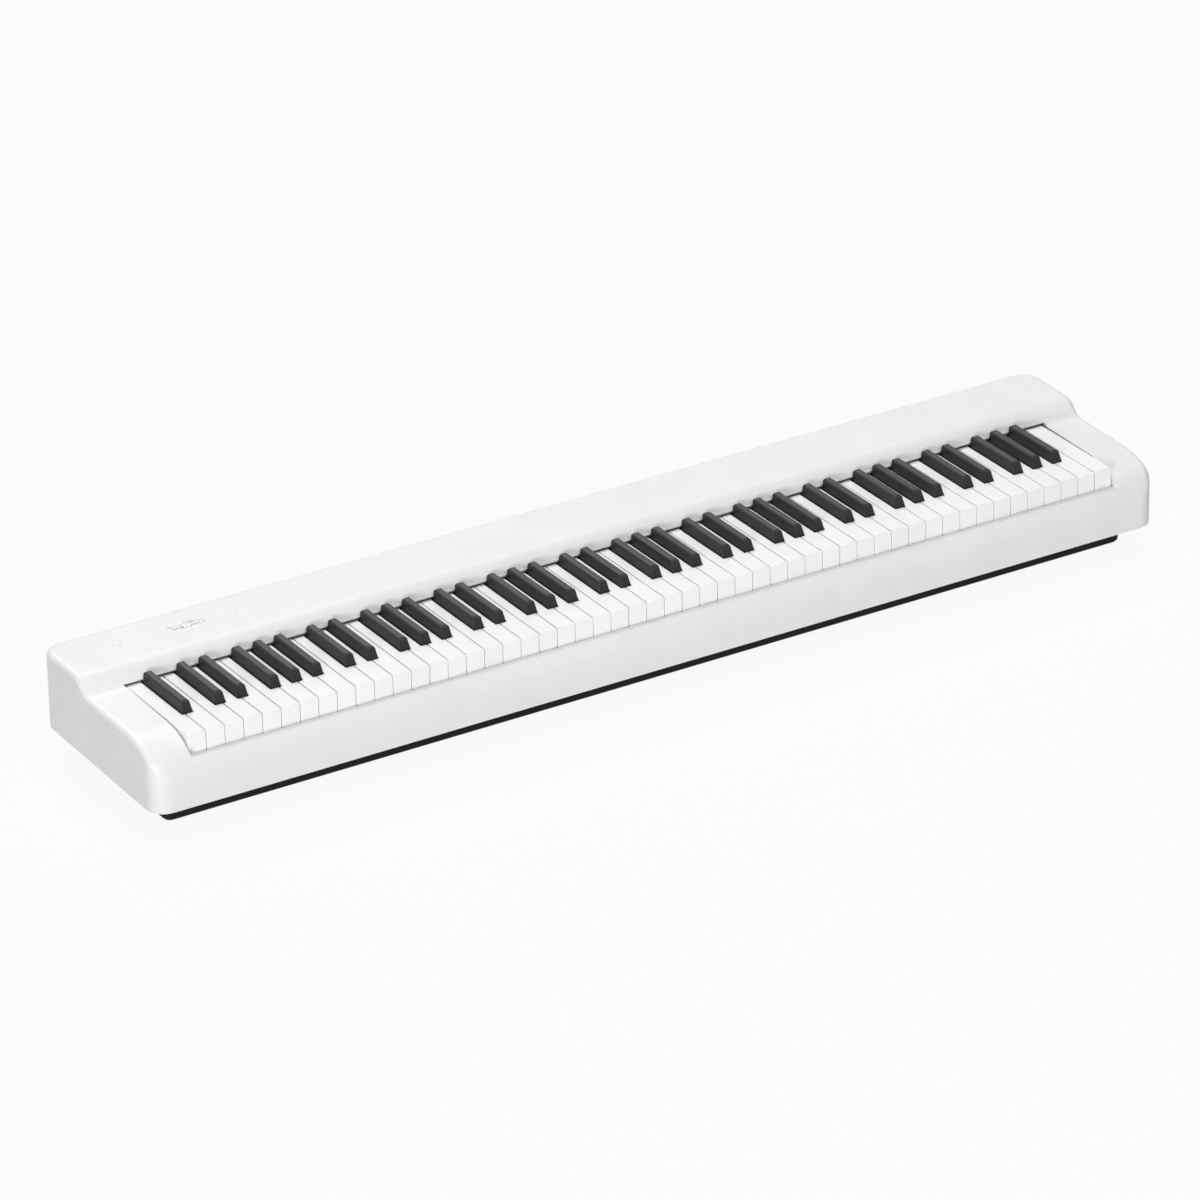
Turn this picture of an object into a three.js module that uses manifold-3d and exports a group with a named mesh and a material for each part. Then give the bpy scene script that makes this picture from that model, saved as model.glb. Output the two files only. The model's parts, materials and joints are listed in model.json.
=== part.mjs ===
// Slab digital piano: 88 hinged keys over a weighted hammer action, in a white case on a recessed black base.
// Millimetres. +X runs from bass to treble, +Y to the rear and +Z up.
// The origin is on the floor, under the middle.

import * as THREE from "three";
import { mergeVertices } from "three/addons/utils/BufferGeometryUtils.js";
import Module from "manifold-3d";

const wasm = await Module();
wasm.setup();

// Gaps and cuts
const seatGap = 0.3;
const cutOverrun = 2;
const weldDistance = 1e-5;

// Keyboard, along the length
const whitePitch = 23.5;
const keyGap = 1;
const blackWidth = 12.6;
const blackTopWidth = 9.6;
const blackSideGap = 1;

// Keyboard, along the depth
const whiteLength = 144;
const blackLength = 93.5;
const blackRearGap = 2.5;
const shoulderGap = 1;
const leverLength = 67;
const leverTail = 12;

// Keyboard, upward
const keyDepth = 21;
const keyChamfer = 0.8;
const keyFall = 3.5;
const keyLipDrop = 5;
const keyLipThickness = 2.5;
const blackRise = 12;
const blackCrown = 1.6;
const blackNose = 5;
const blackLeverDrop = 4;
const blackSkirt = 1;
const blackTailGap = 1;
const keyDip = 10;

// Case
const cheekWidth = 52;
const slipDepth = 16.8;
const keyFrontGap = 2.2;
const rearBay = 26;
const footHeight = 5;
const baseDrop = 29;
const keyTopHeight = 79;
const cheekSink = 2;
const deckRise = 15;
const caseWall = 3;
const cornerRadius = 22;
const edgeRadius = 7;
const slopeRun = 32;
const slopeLead = 9;
const noseRun = 62;
const noseDrop = 39;
const slipHeight = 57;
const slipRadius = 4;
const cheekClearance = 2.5;

// Case inside
const cheekWallDepth = 30;
const slipWallDepth = 33;
const feltFlangeDepth = 12;
const feltGap = 0.5;
const feltThickness = 1.6;
const feltProud = 0.6;
const deckRibPitch = 150;
const deckRibThickness = 2;
const deckRibClearance = 5;
const bossRadius = 4;
const bossFacets = 8;
const bossFromWall = 10;
const cheekBossInset = 23;
const rearBossPitch = 300;

// Base tray
const baseInsetSide = 28;
const baseInsetFront = 31;
const baseInsetRear = 20;
const baseWall = 3;
const baseCornerRadius = 10;
const baseChamfer = 3;
const flangeRecess = 1;
const flangeThickness = 3;
const floorRibHeight = 1.7;
const floorRibWidth = 2;

// Feet
const footRadius = 10;
const footTopRadius = 9;
const footEdge = 1.2;
const footInsetX = 75;
const footInsetY = 22;

// Key frame
const frameWall = 3;
const frameEndReach = 9;
const frontRailDepth = 20;
const frontRailInset = 4;
const stopFeltDepth = 10;
const stopFeltThickness = 2.2;
const stopFeltInset = 2;
const contactShelfDepth = 47;
const contactBoardThickness = 1.6;
const contactBoardDepth = 34;
const rubberDepth = 16;
const rubberSole = 2;
const rubberRidge = 8;
const rubberRidgeHeight = 4;
const rubberCrest = 4;
const rubberLift = 0.4;
const keyRailWidth = 5;
const railGap = 0.7;

// Pivots
const keyRodRadius = 3;
const keyRodSink = 1;
const hammerRodRadius = 2.5;
const notchGap = 0.35;
const rodFacets = 16;

// Hammers
const actuatorReach = 120;
const hammerArm = 48;
const hammerWidth = 8;
const postWidth = 6;
const postLength = 21.2;
const hammerBar = 6;
const padGap = 0.8;
const hammerTop = 12;
const hammerToe = 6;
const hammerHeel = 64;
const weightStart = 30;
const weightDepth = 10;
const hubBarDepth = 8;
const hubBarThickness = 3;
const hammerFeltDepth = 12;
const hammerFeltThickness = 2.7;

// Comb strips
const stripDepth = 5;
const stripThickness = 2.6;
const fuseBite = 0.5;

// Speakers
const speakerLength = 120;
const speakerWidth = 60;
const speakerFromMiddle = 480;
const speakerFlange = 2;
const speakerBasketHeight = 16;
const speakerMagnetHeight = 12;
const speakerMagnetRadius = 24;
const speakerRim = 5;
const speakerConeDepth = 12;
const speakerConeWidth = 12;
const speakerWindowGap = 6;
const speakerFacets = 16;
const speakerCornerSteps = 4;
const slotWidth = 4;
const slotPitch = 9.5;
const slotCount = 10;

// Sockets and main board
const boardLength = 300;
const boardThickness = 1.6;
const boardStandoff = 5.7;
const boardPostSide = 6;
const socketPitch = 40;
const socketShares = [-1.5, -0.5, 0.5, 1.5];
const jackSide = 14;
const jackHeight = 12;
const jackNoseRadius = 5;
const jackBore = 3.3;
const jackDepth = 18;
const usbWidth = 12;
const usbHeight = 11;
const usbCavityWidth = 8.5;
const usbCavityHeight = 7.8;
const usbTongueWidth = 5.6;
const usbTongueHeight = 3.2;
const usbDepth = 12;
const powerSide = 10;
const powerNoseRadius = 4.6;
const powerBore = 3.15;
const powerPin = 1;
const powerDepth = 10;
const socketBack = 4;
const socketRecess = 0.4;

// Controls on the deck
const controlRise = 1;
const controlSetback = 42;
const powerButtonRadius = 4.5;
const powerButtonFromEnd = 75;
const buttonSkirt = 9;
const functionButtonLength = 14;
const functionButtonDepth = 6;
const functionButtonFromEnd = 233;
const sliderFromEnd = 163;
const sliderTravel = 30;
const sliderKnobLength = 10;
const sliderKnobDepth = 8;
const sliderStemLength = 5;
const sliderStemDepth = 1.8;
const sliderStemDrop = 8;
const sliderRecess = 1.5;
const sliderMargin = 2;
const shutterThickness = 1.2;
const controlGap = 0.3;
const buttonCrown = 0.5;
const buttonCollar = 1.5;

// Octaves: where each black key's middle lies, as a share of the octave from its C
const blackCentreShares = { C: 0.129, D: 0.2996, F: 0.5506, G: 0.7143, A: 0.878 };
const whiteLetters = ["A", "B", "C", "D", "E", "F", "G"];

// Runs of keys, by how many white keys each holds: the octave's keys are single, the others moulded as combs
const bassCount = 9;
const tenorCount = 14;
const octaveCount = 7;
const trebleCount = 14;
const topCount = 8;
const singleRun = "octave";

// The white keys of each run, by their numbers from the left
let whiteCount = 0;
const keyRuns = [
  ["bass", bassCount],
  ["tenor", tenorCount],
  [singleRun, octaveCount],
  ["treble", trebleCount],
  ["top", topCount],
].map(([name, count]) => {
  const whites = Array.from({ length: count }, (_, i) => whiteCount + i);
  whiteCount += count;
  return { name, whites };
});

// Places worked out from the sizes above
const keyboardHalf = (whiteCount * whitePitch) / 2;
const caseHalfLength = keyboardHalf + cheekWidth;
const caseDepth = slipDepth + keyFrontGap + whiteLength + leverLength + leverTail + rearBay;
const caseFront = -caseDepth / 2;
const caseRear = caseDepth / 2;
const slipInner = caseFront + slipDepth;
const keyFront = slipInner + keyFrontGap;
const keyLine = keyFront + whiteLength;
const pivotY = keyLine + leverLength;
const keyRear = pivotY + leverTail;
const blackRear = keyLine - blackRearGap;
const blackFront = blackRear - blackLength;
const blackTail = keyRear - blackTailGap;
const shoulder = blackFront - shoulderGap;
const shellBottom = footHeight + baseDrop;
const whiteTop = shellBottom + keyTopHeight;
const cheekTop = whiteTop - cheekSink;
const deckTop = whiteTop + deckRise;
const keyBottom = whiteTop - keyDepth;
const pivotZ = keyBottom + keyRodSink;
const dipAngle = keyDip / (pivotY - keyFront);
const hammerY = pivotY - actuatorReach + hammerArm;
const actuatorY = pivotY - actuatorReach;
const wellHalf = keyboardHalf + cheekClearance;
const slopeFoot = keyLine - slopeLead;
const slopeTop = slopeFoot + slopeRun;
const noseStart = caseFront + noseRun;
const keyTopAt = (y) => whiteTop - (keyFall * (y - keyFront)) / whiteLength;
const lineTop = keyTopAt(keyLine);
const blackLeverTop = lineTop - blackLeverDrop;

const materials = {
  white_shell: { color: 0xf4f4f3, roughness: 0.45, metalness: 0 },
  black_base: { color: 0x1c1c1d, roughness: 0.6, metalness: 0 },
  white_key: { color: 0xfafaf7, roughness: 0.25, metalness: 0 },
  black_key: { color: 0x1a1a1b, roughness: 0.4, metalness: 0 },
  dark_felt: { color: 0x3a2c2b, roughness: 0.95, metalness: 0 },
  steel: { color: 0xb9bcc0, roughness: 0.35, metalness: 1 },
  frame_plastic: { color: 0x4a4d51, roughness: 0.55, metalness: 0 },
  hammer_plastic: { color: 0x6b6e73, roughness: 0.5, metalness: 0 },
  circuit_board: { color: 0x1f5a3a, roughness: 0.5, metalness: 0 },
  contact_rubber: { color: 0x8d9094, roughness: 0.8, metalness: 0 },
  foot_rubber: { color: 0x202021, roughness: 0.9, metalness: 0 },
  speaker_cone: { color: 0x2a2a2c, roughness: 0.8, metalness: 0 },
  socket_plastic: { color: 0x151516, roughness: 0.5, metalness: 0 },
};

const piano = new THREE.Group();

// Turns a closed geometry into a solid that can be joined and cut.
function solidOf(geometry) {
  const bare = geometry.clone();
  bare.deleteAttribute("normal");
  bare.deleteAttribute("uv");
  const merged = mergeVertices(bare, weldDistance);
  const vertProperties = new Float32Array(merged.attributes.position.array);
  const triVerts = new Uint32Array(merged.index.array);
  return new wasm.Manifold(new wasm.Mesh({ numProp: 3, vertProperties, triVerts }));
}

// Adds a solid to the piano as a named mesh with its own material.
function addPart(name, solid, finish) {
  const { numProp, vertProperties, triVerts } = solid.getMesh();
  const geometry = new THREE.BufferGeometry();
  geometry.setAttribute("position", new THREE.BufferAttribute(new Float32Array(vertProperties), numProp));
  geometry.setIndex(new THREE.BufferAttribute(new Uint32Array(triVerts), 1));
  geometry.computeVertexNormals();
  const mesh = new THREE.Mesh(geometry, new THREE.MeshStandardMaterial(materials[finish]));
  mesh.name = name;
  piano.add(mesh);
}

function joined(solids) {
  return solids.reduce((whole, next) => whole.add(next));
}

function box(x0, x1, y0, y1, z0, z1) {
  const geometry = new THREE.BoxGeometry(x1 - x0, y1 - y0, z1 - z0);
  geometry.translate((x0 + x1) / 2, (y0 + y1) / 2, (z0 + z1) / 2);
  return solidOf(geometry);
}

// An outline in (y, z), drawn out along X.
function alongX(outline, x0, x1) {
  const shape = new THREE.Shape(outline.map(([y, z]) => new THREE.Vector2(y, z)));
  const geometry = new THREE.ExtrudeGeometry(shape, { depth: x1 - x0, bevelEnabled: false });
  const yzx = new THREE.Matrix4().set(0, 0, 1, x0, 1, 0, 0, 0, 0, 1, 0, 0, 0, 0, 0, 1);
  return solidOf(geometry.applyMatrix4(yzx));
}

// A turned form: its profile is [radius, height] pairs along an axis through a point.
function turned(profile, axis, x, y, z, facets) {
  const points = profile.map(([radius, height]) => new THREE.Vector2(radius, height));
  const geometry = new THREE.LatheGeometry(points, facets);
  const turn = new THREE.Quaternion().setFromUnitVectors(new THREE.Vector3(0, 1, 0), axis);
  geometry.applyQuaternion(turn);
  geometry.translate(x, y, z);
  return solidOf(geometry);
}

const alongZAxis = new THREE.Vector3(0, 0, 1);
const alongYAxis = new THREE.Vector3(0, 1, 0);
const alongXAxis = new THREE.Vector3(1, 0, 0);

function rod(radius, length, axis, x, y, z, facets) {
  const profile = [[0, 0], [radius, 0], [radius, length], [0, length]];
  return turned(profile, axis, x, y, z, facets);
}

// Rings of equally many corners, each anticlockwise from above and higher than the last, made one solid.
function lofted(rings) {
  const corners = rings[0].length;
  const position = rings.flat().flatMap((p) => [p.x, p.y, p.z]);
  const index = [];
  for (let r = 0; r + 1 < rings.length; r += 1) {
    for (let i = 0; i < corners; i += 1) {
      const a = r * corners + i;
      const b = r * corners + ((i + 1) % corners);
      index.push(a, b, b + corners, a, b + corners, a + corners);
    }
  }
  const flat = (ring) => ring.map((p) => new THREE.Vector2(p.x, p.y));
  const last = (rings.length - 1) * corners;
  for (const [a, b, c] of THREE.ShapeUtils.triangulateShape(flat(rings[0]), [])) {
    index.push(a, c, b);
  }
  for (const [a, b, c] of THREE.ShapeUtils.triangulateShape(flat(rings.at(-1)), [])) {
    index.push(last + a, last + b, last + c);
  }
  const geometry = new THREE.BufferGeometry();
  geometry.setAttribute("position", new THREE.Float32BufferAttribute(position, 3));
  geometry.setIndex(index);
  return solidOf(geometry);
}

// A ring around a plan whose edges all run along X or Y, set in by an amount.
function squareRing(plan, setIn, z) {
  return plan.map(([x, y], i) => {
    const [beforeX, beforeY] = plan.at(i - 1);
    const [afterX, afterY] = plan[(i + 1) % plan.length];
    const inX = Math.sign(beforeY - y) + Math.sign(y - afterY);
    const inY = Math.sign(x - beforeX) + Math.sign(afterX - x);
    return new THREE.Vector3(x + inX * setIn, y + inY * setIn, z);
  });
}

// A ring around a rectangle with round corners.
function roundRing(x0, x1, y0, y1, radius, z, facets) {
  const ring = [];
  const centres = [
    [x1 - radius, y0 + radius, -Math.PI / 2],
    [x1 - radius, y1 - radius, 0],
    [x0 + radius, y1 - radius, Math.PI / 2],
    [x0 + radius, y0 + radius, Math.PI],
  ];
  for (const [cx, cy, start] of centres) {
    for (let i = 0; i <= facets; i += 1) {
      const angle = start + (i / facets) * (Math.PI / 2);
      ring.push(new THREE.Vector3(cx + radius * Math.cos(angle), cy + radius * Math.sin(angle), z));
    }
  }
  return ring;
}

// How high the top of the case runs at a depth, for a surface set in by a wall.
const slopeDrop = deckTop - cheekTop;
const slopeRadius = (slopeRun ** 2 + slopeDrop ** 2) / (4 * slopeDrop);
const slopeAngle = Math.asin(slopeRun / (2 * slopeRadius));

function topHeight(y, setIn) {
  const middle = slopeFoot + (slopeRadius + setIn) * Math.sin(slopeAngle);
  if (y >= slopeTop) {
    return deckTop - setIn;
  }
  if (y >= middle) {
    return deckTop - slopeRadius + Math.sqrt((slopeRadius - setIn) ** 2 - (slopeTop - y) ** 2);
  }
  if (y >= slopeFoot) {
    return cheekTop + slopeRadius - Math.sqrt((slopeRadius + setIn) ** 2 - (y - slopeFoot) ** 2);
  }
  if (y >= noseStart) {
    return cheekTop - setIn;
  }
  const share = Math.min(1, (noseStart - y) / (noseRun - setIn));
  return cheekTop - noseDrop + (noseDrop - setIn) * Math.sqrt(1 - share ** 2);
}

// The depths between the corners where the top bends, from front to rear.
const noseSteps = 6;
const slopeSteps = 3;

function topStations(setIn) {
  const stations = [];
  for (let i = noseSteps; i >= 0; i -= 1) {
    stations.push(noseStart - (noseRun - setIn) * Math.sin((i / noseSteps) * (Math.PI / 2)));
  }
  for (let i = 0; i <= slopeSteps; i += 1) {
    stations.push(slopeFoot + (slopeRadius + setIn) * Math.sin((i / slopeSteps) * slopeAngle));
  }
  for (let i = slopeSteps - 1; i >= 0; i -= 1) {
    stations.push(slopeTop - (slopeRadius - setIn) * Math.sin((i / slopeSteps) * slopeAngle));
  }
  const first = caseFront + cornerRadius + edgeRadius / slopeSteps;
  return stations.filter((y) => y > first && y < caseRear - cornerRadius);
}

// The case's outer form, or the hollow in it when set in by the wall.
const cornerSteps = 5;
const edgeSteps = 3;

function caseForm(setIn, bottom, edge) {
  const stations = topStations(setIn);
  const radius = cornerRadius - setIn;
  const middleX = caseHalfLength - cornerRadius;
  const frontY = caseFront + cornerRadius;
  const rearY = caseRear - cornerRadius;
  const side = (inset) => {
    const corner = (centreY, start) =>
      Array.from({ length: cornerSteps + 1 }, (_, i) => {
        const angle = start + (i / cornerSteps) * (Math.PI / 2);
        const reach = radius - inset;
        return [middleX + reach * Math.cos(angle), centreY + reach * Math.sin(angle)];
      });
    const straight = stations.map((y) => [middleX + radius - inset, y]);
    return [...corner(frontY, -Math.PI / 2), ...straight, ...corner(rearY, 0)];
  };
  const ring = (inset, heightAt) => {
    const right = side(inset).map(([x, y]) => [x, y, heightAt(y)]);
    const left = right.map(([x, y, z]) => [-x, y, z]).reverse();
    return [...right, ...left];
  };
  const rings = [ring(0, () => bottom)];
  const steps = edge > 0 ? edgeSteps : 0;
  for (let i = 0; i <= steps; i += 1) {
    const angle = steps > 0 ? (i / steps) * (Math.PI / 2) : Math.PI / 2;
    const inset = edge * (1 - Math.cos(angle));
    const drop = edge * (1 - Math.sin(angle));
    rings.push(ring(steps > 0 ? inset : 0, (y) => topHeight(y, setIn) - drop));
  }
  const corners = rings[0].length;
  const index = [];
  for (let r = 0; r + 1 < rings.length; r += 1) {
    for (let i = 0; i < corners; i += 1) {
      const a = r * corners + i;
      const b = r * corners + ((i + 1) % corners);
      index.push(a, b, b + corners, a, b + corners, a + corners);
    }
  }
  const last = (rings.length - 1) * corners;
  for (let i = 0; i + 1 < corners / 2; i += 1) {
    const far = corners - 1 - i;
    index.push(i, far - 1, i + 1, i, far, far - 1);
    index.push(last + i, last + i + 1, last + far - 1, last + i, last + far - 1, last + far);
  }
  const geometry = new THREE.BufferGeometry();
  geometry.setAttribute("position", new THREE.Float32BufferAttribute(rings.flat(2), 3));
  geometry.setIndex(index);
  return solidOf(geometry);
}

// Levels of the base, the frame and the action
const slipTop = shellBottom + slipHeight;
const flangeBottom = shellBottom + flangeRecess;
const flangeTop = flangeBottom + flangeThickness;
const innerRear = caseRear - caseWall;
const frameBottom = footHeight + baseWall + floorRibHeight + seatGap;
const frameFloor = frameBottom + frameWall;
const frameHalf = wellHalf + caseWall + seatGap * 2;
const dipAt = (y) => (pivotY - y) * Math.sin(dipAngle);
const railFront = keyFront + frontRailInset;
const uprightFront = railFront + frontRailDepth;
const stopFeltFront = railFront + stopFeltInset;
const stopFeltTop = keyBottom - dipAt(stopFeltFront) - seatGap;
const railTop = stopFeltTop - stopFeltThickness - seatGap;
const shelfRear = uprightFront + frameWall + contactShelfDepth;
const boardFront = shelfRear - contactBoardDepth;
const rubberFront = boardFront + rubberSole;
const rubberMiddle = rubberFront + rubberDepth / 2;
const rubberTop = keyBottom - blackSkirt - dipAt(rubberMiddle - rubberCrest / 2) - rubberLift;
const rubberBottom = rubberTop - rubberRidgeHeight - rubberSole;
const contactBoardTop = rubberBottom - seatGap;
const shelfTop = contactBoardTop - contactBoardThickness - seatGap;
const hammerZ = keyBottom - postLength - padGap - hammerTop;
const hammerFeltMiddle = hammerY + (weightStart + hammerHeel) / 2;
const hammerFeltTop = hammerZ - weightDepth - seatGap;
const hammerRestTop = hammerFeltTop - hammerFeltThickness - seatGap;
const hammerRailTop = hammerZ - hammerRodRadius - railGap;
const keyRailTop = pivotZ - keyRodRadius - railGap;
const mainBoardBottom = flangeTop + boardStandoff + seatGap;
const socketBottom = mainBoardBottom + boardThickness + seatGap;
const controlY = caseRear - controlSetback;
const controlTop = deckTop + controlRise;
const deckUnderside = deckTop - caseWall;

// The sockets at the rear, from bass to treble
const [powerX, usbX, pedalX, phonesX] = socketShares.map((share) => share * socketPitch);
const jackMiddle = socketBottom + jackHeight / 2;
const usbMiddle = socketBottom + usbHeight / 2;
const powerMiddle = socketBottom + powerSide / 2;

// Places of the controls and of what the deck opens for them
const powerButtonX = powerButtonFromEnd - caseHalfLength;
const sliderX = sliderFromEnd - caseHalfLength;
const functionButtonX = functionButtonFromEnd - caseHalfLength;
const sliderFoot = deckTop - sliderStemDrop;
const sliderSlotHalf = (sliderTravel + sliderStemLength) / 2 + controlGap;
const shutterHalf = sliderSlotHalf + sliderTravel / 2;
const shutterHalfDepth = sliderKnobDepth / 2;

function deckOpenings() {
  const top = deckTop + cutOverrun;
  const under = deckUnderside - cutOverrun;
  const roomHalf = shutterHalf + sliderTravel / 2 + controlGap;
  const roomHalfDepth = shutterHalfDepth + controlGap;
  const holeRadius = powerButtonRadius + controlGap;
  const halfLength = functionButtonLength / 2 + controlGap;
  const halfDepth = functionButtonDepth / 2 + controlGap;
  const slotDepth = sliderStemDepth / 2 + controlGap;
  const recessHalf = (sliderTravel + sliderKnobLength) / 2 + sliderMargin;
  const recessDepth = sliderKnobDepth / 2 + sliderMargin;
  return joined([
    rod(holeRadius, top - under, alongZAxis, powerButtonX, controlY, under, rodFacets),
    box(
      functionButtonX - halfLength,
      functionButtonX + halfLength,
      controlY - halfDepth,
      controlY + halfDepth,
      under,
      top,
    ),
    box(
      sliderX - sliderSlotHalf,
      sliderX + sliderSlotHalf,
      controlY - slotDepth,
      controlY + slotDepth,
      under,
      top,
    ),
    box(
      sliderX - roomHalf,
      sliderX + roomHalf,
      controlY - roomHalfDepth,
      controlY + roomHalfDepth,
      sliderFoot - controlGap,
      deckUnderside,
    ),
    box(
      sliderX - recessHalf,
      sliderX + recessHalf,
      controlY - recessDepth,
      controlY + recessDepth,
      deckTop - sliderRecess,
      top,
    ),
  ]);
}

function rearOpenings() {
  const start = innerRear - cutOverrun;
  const length = caseWall + cutOverrun * 2;
  const jackHole = (x) =>
    rod(jackNoseRadius + controlGap, length, alongYAxis, x, start, jackMiddle, rodFacets);
  const usbHalf = usbWidth / 2 + controlGap;
  const usbHalfHeight = usbHeight / 2 + controlGap;
  return joined([
    jackHole(pedalX),
    jackHole(phonesX),
    rod(powerNoseRadius + controlGap, length, alongYAxis, powerX, start, powerMiddle, rodFacets),
    box(
      usbX - usbHalf,
      usbX + usbHalf,
      start,
      start + length,
      usbMiddle - usbHalfHeight,
      usbMiddle + usbHalfHeight,
    ),
  ]);
}

// The well that the keys lie in, with the rounded top of the slip in front of it.
function keyWell() {
  const outline = [
    [slipInner, slipTop - slipWallDepth],
    [keyLine, slipTop - slipWallDepth],
    [keyLine, deckTop + cutOverrun],
    [caseFront - cutOverrun, deckTop + cutOverrun],
    [caseFront - cutOverrun, slipTop],
  ];
  for (let i = 0; i <= slopeSteps; i += 1) {
    const angle = (i / slopeSteps) * (Math.PI / 2);
    const y = slipInner - slipRadius + slipRadius * Math.sin(angle);
    outline.push([y, slipTop - slipRadius + slipRadius * Math.cos(angle)]);
  }
  return alongX(outline, -wellHalf, wellHalf);
}

function buildUpperCase() {
  const outer = caseForm(0, shellBottom, edgeRadius);
  const hollow = caseForm(caseWall, shellBottom - cutOverrun, 0);
  const well = keyWell();
  const liningHalf = wellHalf + caseWall;
  const slipWallFoot = slipTop - slipWallDepth;
  const cheekWallFoot = cheekTop - cheekWallDepth;
  const slipBack = slipInner - caseWall;
  const lipRear = keyLine + caseWall;
  const feltSeat = lineTop + feltGap + feltThickness + seatGap;
  const flangeRear = keyLine + feltFlangeDepth;
  const linings = joined([
    box(-liningHalf, liningHalf, slipBack, slipInner, slipWallFoot, slipTop),
    box(-liningHalf, liningHalf, caseFront, slipInner, slipTop - caseWall, slipTop),
    box(-liningHalf, -wellHalf, caseFront, lipRear, cheekWallFoot, deckTop),
    box(wellHalf, liningHalf, caseFront, lipRear, cheekWallFoot, deckTop),
    box(-liningHalf, liningHalf, keyLine, flangeRear, feltSeat, feltSeat + caseWall),
  ]);
  const feltRoom = box(-wellHalf, wellHalf, keyLine - cutOverrun, flangeRear, keyBottom, feltSeat);
  const pieces = [
    outer.subtract(hollow).subtract(well).subtract(feltRoom),
    outer.subtract(well).intersect(linings),
  ];
  const ribSteps = Math.floor(keyboardHalf / deckRibPitch);
  for (let i = -ribSteps; i <= ribSteps; i += 1) {
    const x = i * deckRibPitch;
    const half = deckRibThickness / 2;
    const ribFoot = whiteTop + deckRibClearance;
    const bite = caseWall / 2;
    pieces.push(box(x - half, x + half, slopeTop, innerRear + bite, ribFoot, deckUnderside + bite));
  }
  const bossFoot = flangeTop + seatGap;
  const bossY = innerRear - bossFromWall;
  const bossSteps = Math.floor(keyboardHalf / rearBossPitch);
  const deckBoss = deckUnderside + caseWall / 2 - bossFoot;
  const cheekBoss = cheekTop - caseWall / 2 - bossFoot;
  const cheekX = caseHalfLength - cheekBossInset;
  for (const side of [-1, 1]) {
    for (let i = 1; i <= bossSteps; i += 1) {
      const x = side * i * rearBossPitch;
      pieces.push(rod(bossRadius, deckBoss, alongZAxis, x, bossY, bossFoot, bossFacets));
    }
    for (const y of [noseStart, slopeFoot]) {
      pieces.push(rod(bossRadius, cheekBoss, alongZAxis, side * cheekX, y, bossFoot, bossFacets));
    }
  }
  return joined(pieces).subtract(deckOpenings()).subtract(rearOpenings());
}

// The plan of the base tray, set in by an amount.
function trayRing(setIn, z) {
  const halfX = caseHalfLength - baseInsetSide - setIn;
  const front = caseFront + baseInsetFront + setIn;
  const rear = caseRear - baseInsetRear - setIn;
  return roundRing(-halfX, halfX, front, rear, baseCornerRadius - setIn, z, cornerSteps);
}

const speakerY = (uprightFront + frameWall + hammerY - keyRailWidth / 2) / 2;

function grilleSlots(middleX) {
  const slots = [];
  const halfDepth = speakerWidth / 2 - speakerRim;
  for (let i = 0; i < slotCount; i += 1) {
    const x = middleX + (i - (slotCount - 1) / 2) * slotPitch;
    const y0 = speakerY - halfDepth;
    const y1 = speakerY + halfDepth;
    const top = footHeight + baseWall + floorRibHeight + cutOverrun;
    slots.push(box(x - slotWidth / 2, x + slotWidth / 2, y0, y1, footHeight - cutOverrun, top));
  }
  return joined(slots);
}

function speakerWindow(middleX, bottom, top) {
  const halfX = speakerLength / 2 + speakerWindowGap;
  const halfY = speakerWidth / 2 + speakerWindowGap;
  return box(middleX - halfX, middleX + halfX, speakerY - halfY, speakerY + halfY, bottom, top);
}

function buildLowerCase() {
  const floor = footHeight + baseWall;
  const hollow = lofted([trayRing(baseWall, floor), trayRing(baseWall, flangeTop + cutOverrun)]);
  const tray = lofted([
    trayRing(baseChamfer, footHeight),
    trayRing(0, footHeight + baseChamfer),
    trayRing(0, flangeTop),
  ]);
  const flangeGap = caseWall + seatGap;
  const flangeX = caseHalfLength - flangeGap;
  const flangeCorner = cornerRadius - flangeGap;
  const flangeRing = (z) =>
    roundRing(-flangeX, flangeX, caseFront + flangeGap, caseRear - flangeGap, flangeCorner, z, cornerSteps);
  const flange = lofted([flangeRing(flangeBottom), flangeRing(flangeTop)]);
  let base = tray.add(flange).subtract(hollow);
  const ribHalf = floorRibWidth / 2;
  for (const y of [uprightFront + frameWall / 2, hammerY, hammerFeltMiddle, pivotY]) {
    const ribTop = floor + floorRibHeight;
    let rib = box(-keyboardHalf, keyboardHalf, y - ribHalf, y + ribHalf, floor - fuseBite, ribTop);
    for (const side of [-1, 1]) {
      rib = rib.subtract(speakerWindow(side * speakerFromMiddle, floor - cutOverrun, ribTop + cutOverrun));
    }
    base = base.add(rib);
  }
  const postHalf = boardPostSide / 2;
  const postY = innerRear - bossFromWall;
  for (const share of [-1, 0, 1]) {
    const x = share * (boardLength / 2 - boardPostSide);
    const postTop = flangeTop + boardStandoff;
    base = base.add(
      box(x - postHalf, x + postHalf, postY - postHalf, postY + postHalf, flangeTop - fuseBite, postTop),
    );
  }
  for (const side of [-1, 1]) {
    base = base.subtract(grilleSlots(side * speakerFromMiddle));
  }
  return base;
}

function buildFoot(x, y) {
  const profile = [
    [0, 0],
    [footRadius - footEdge, 0],
    [footRadius, footEdge],
    [footTopRadius, footHeight - seatGap],
    [0, footHeight - seatGap],
  ];
  return turned(profile, alongZAxis, x, y, 0, rodFacets);
}

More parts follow.
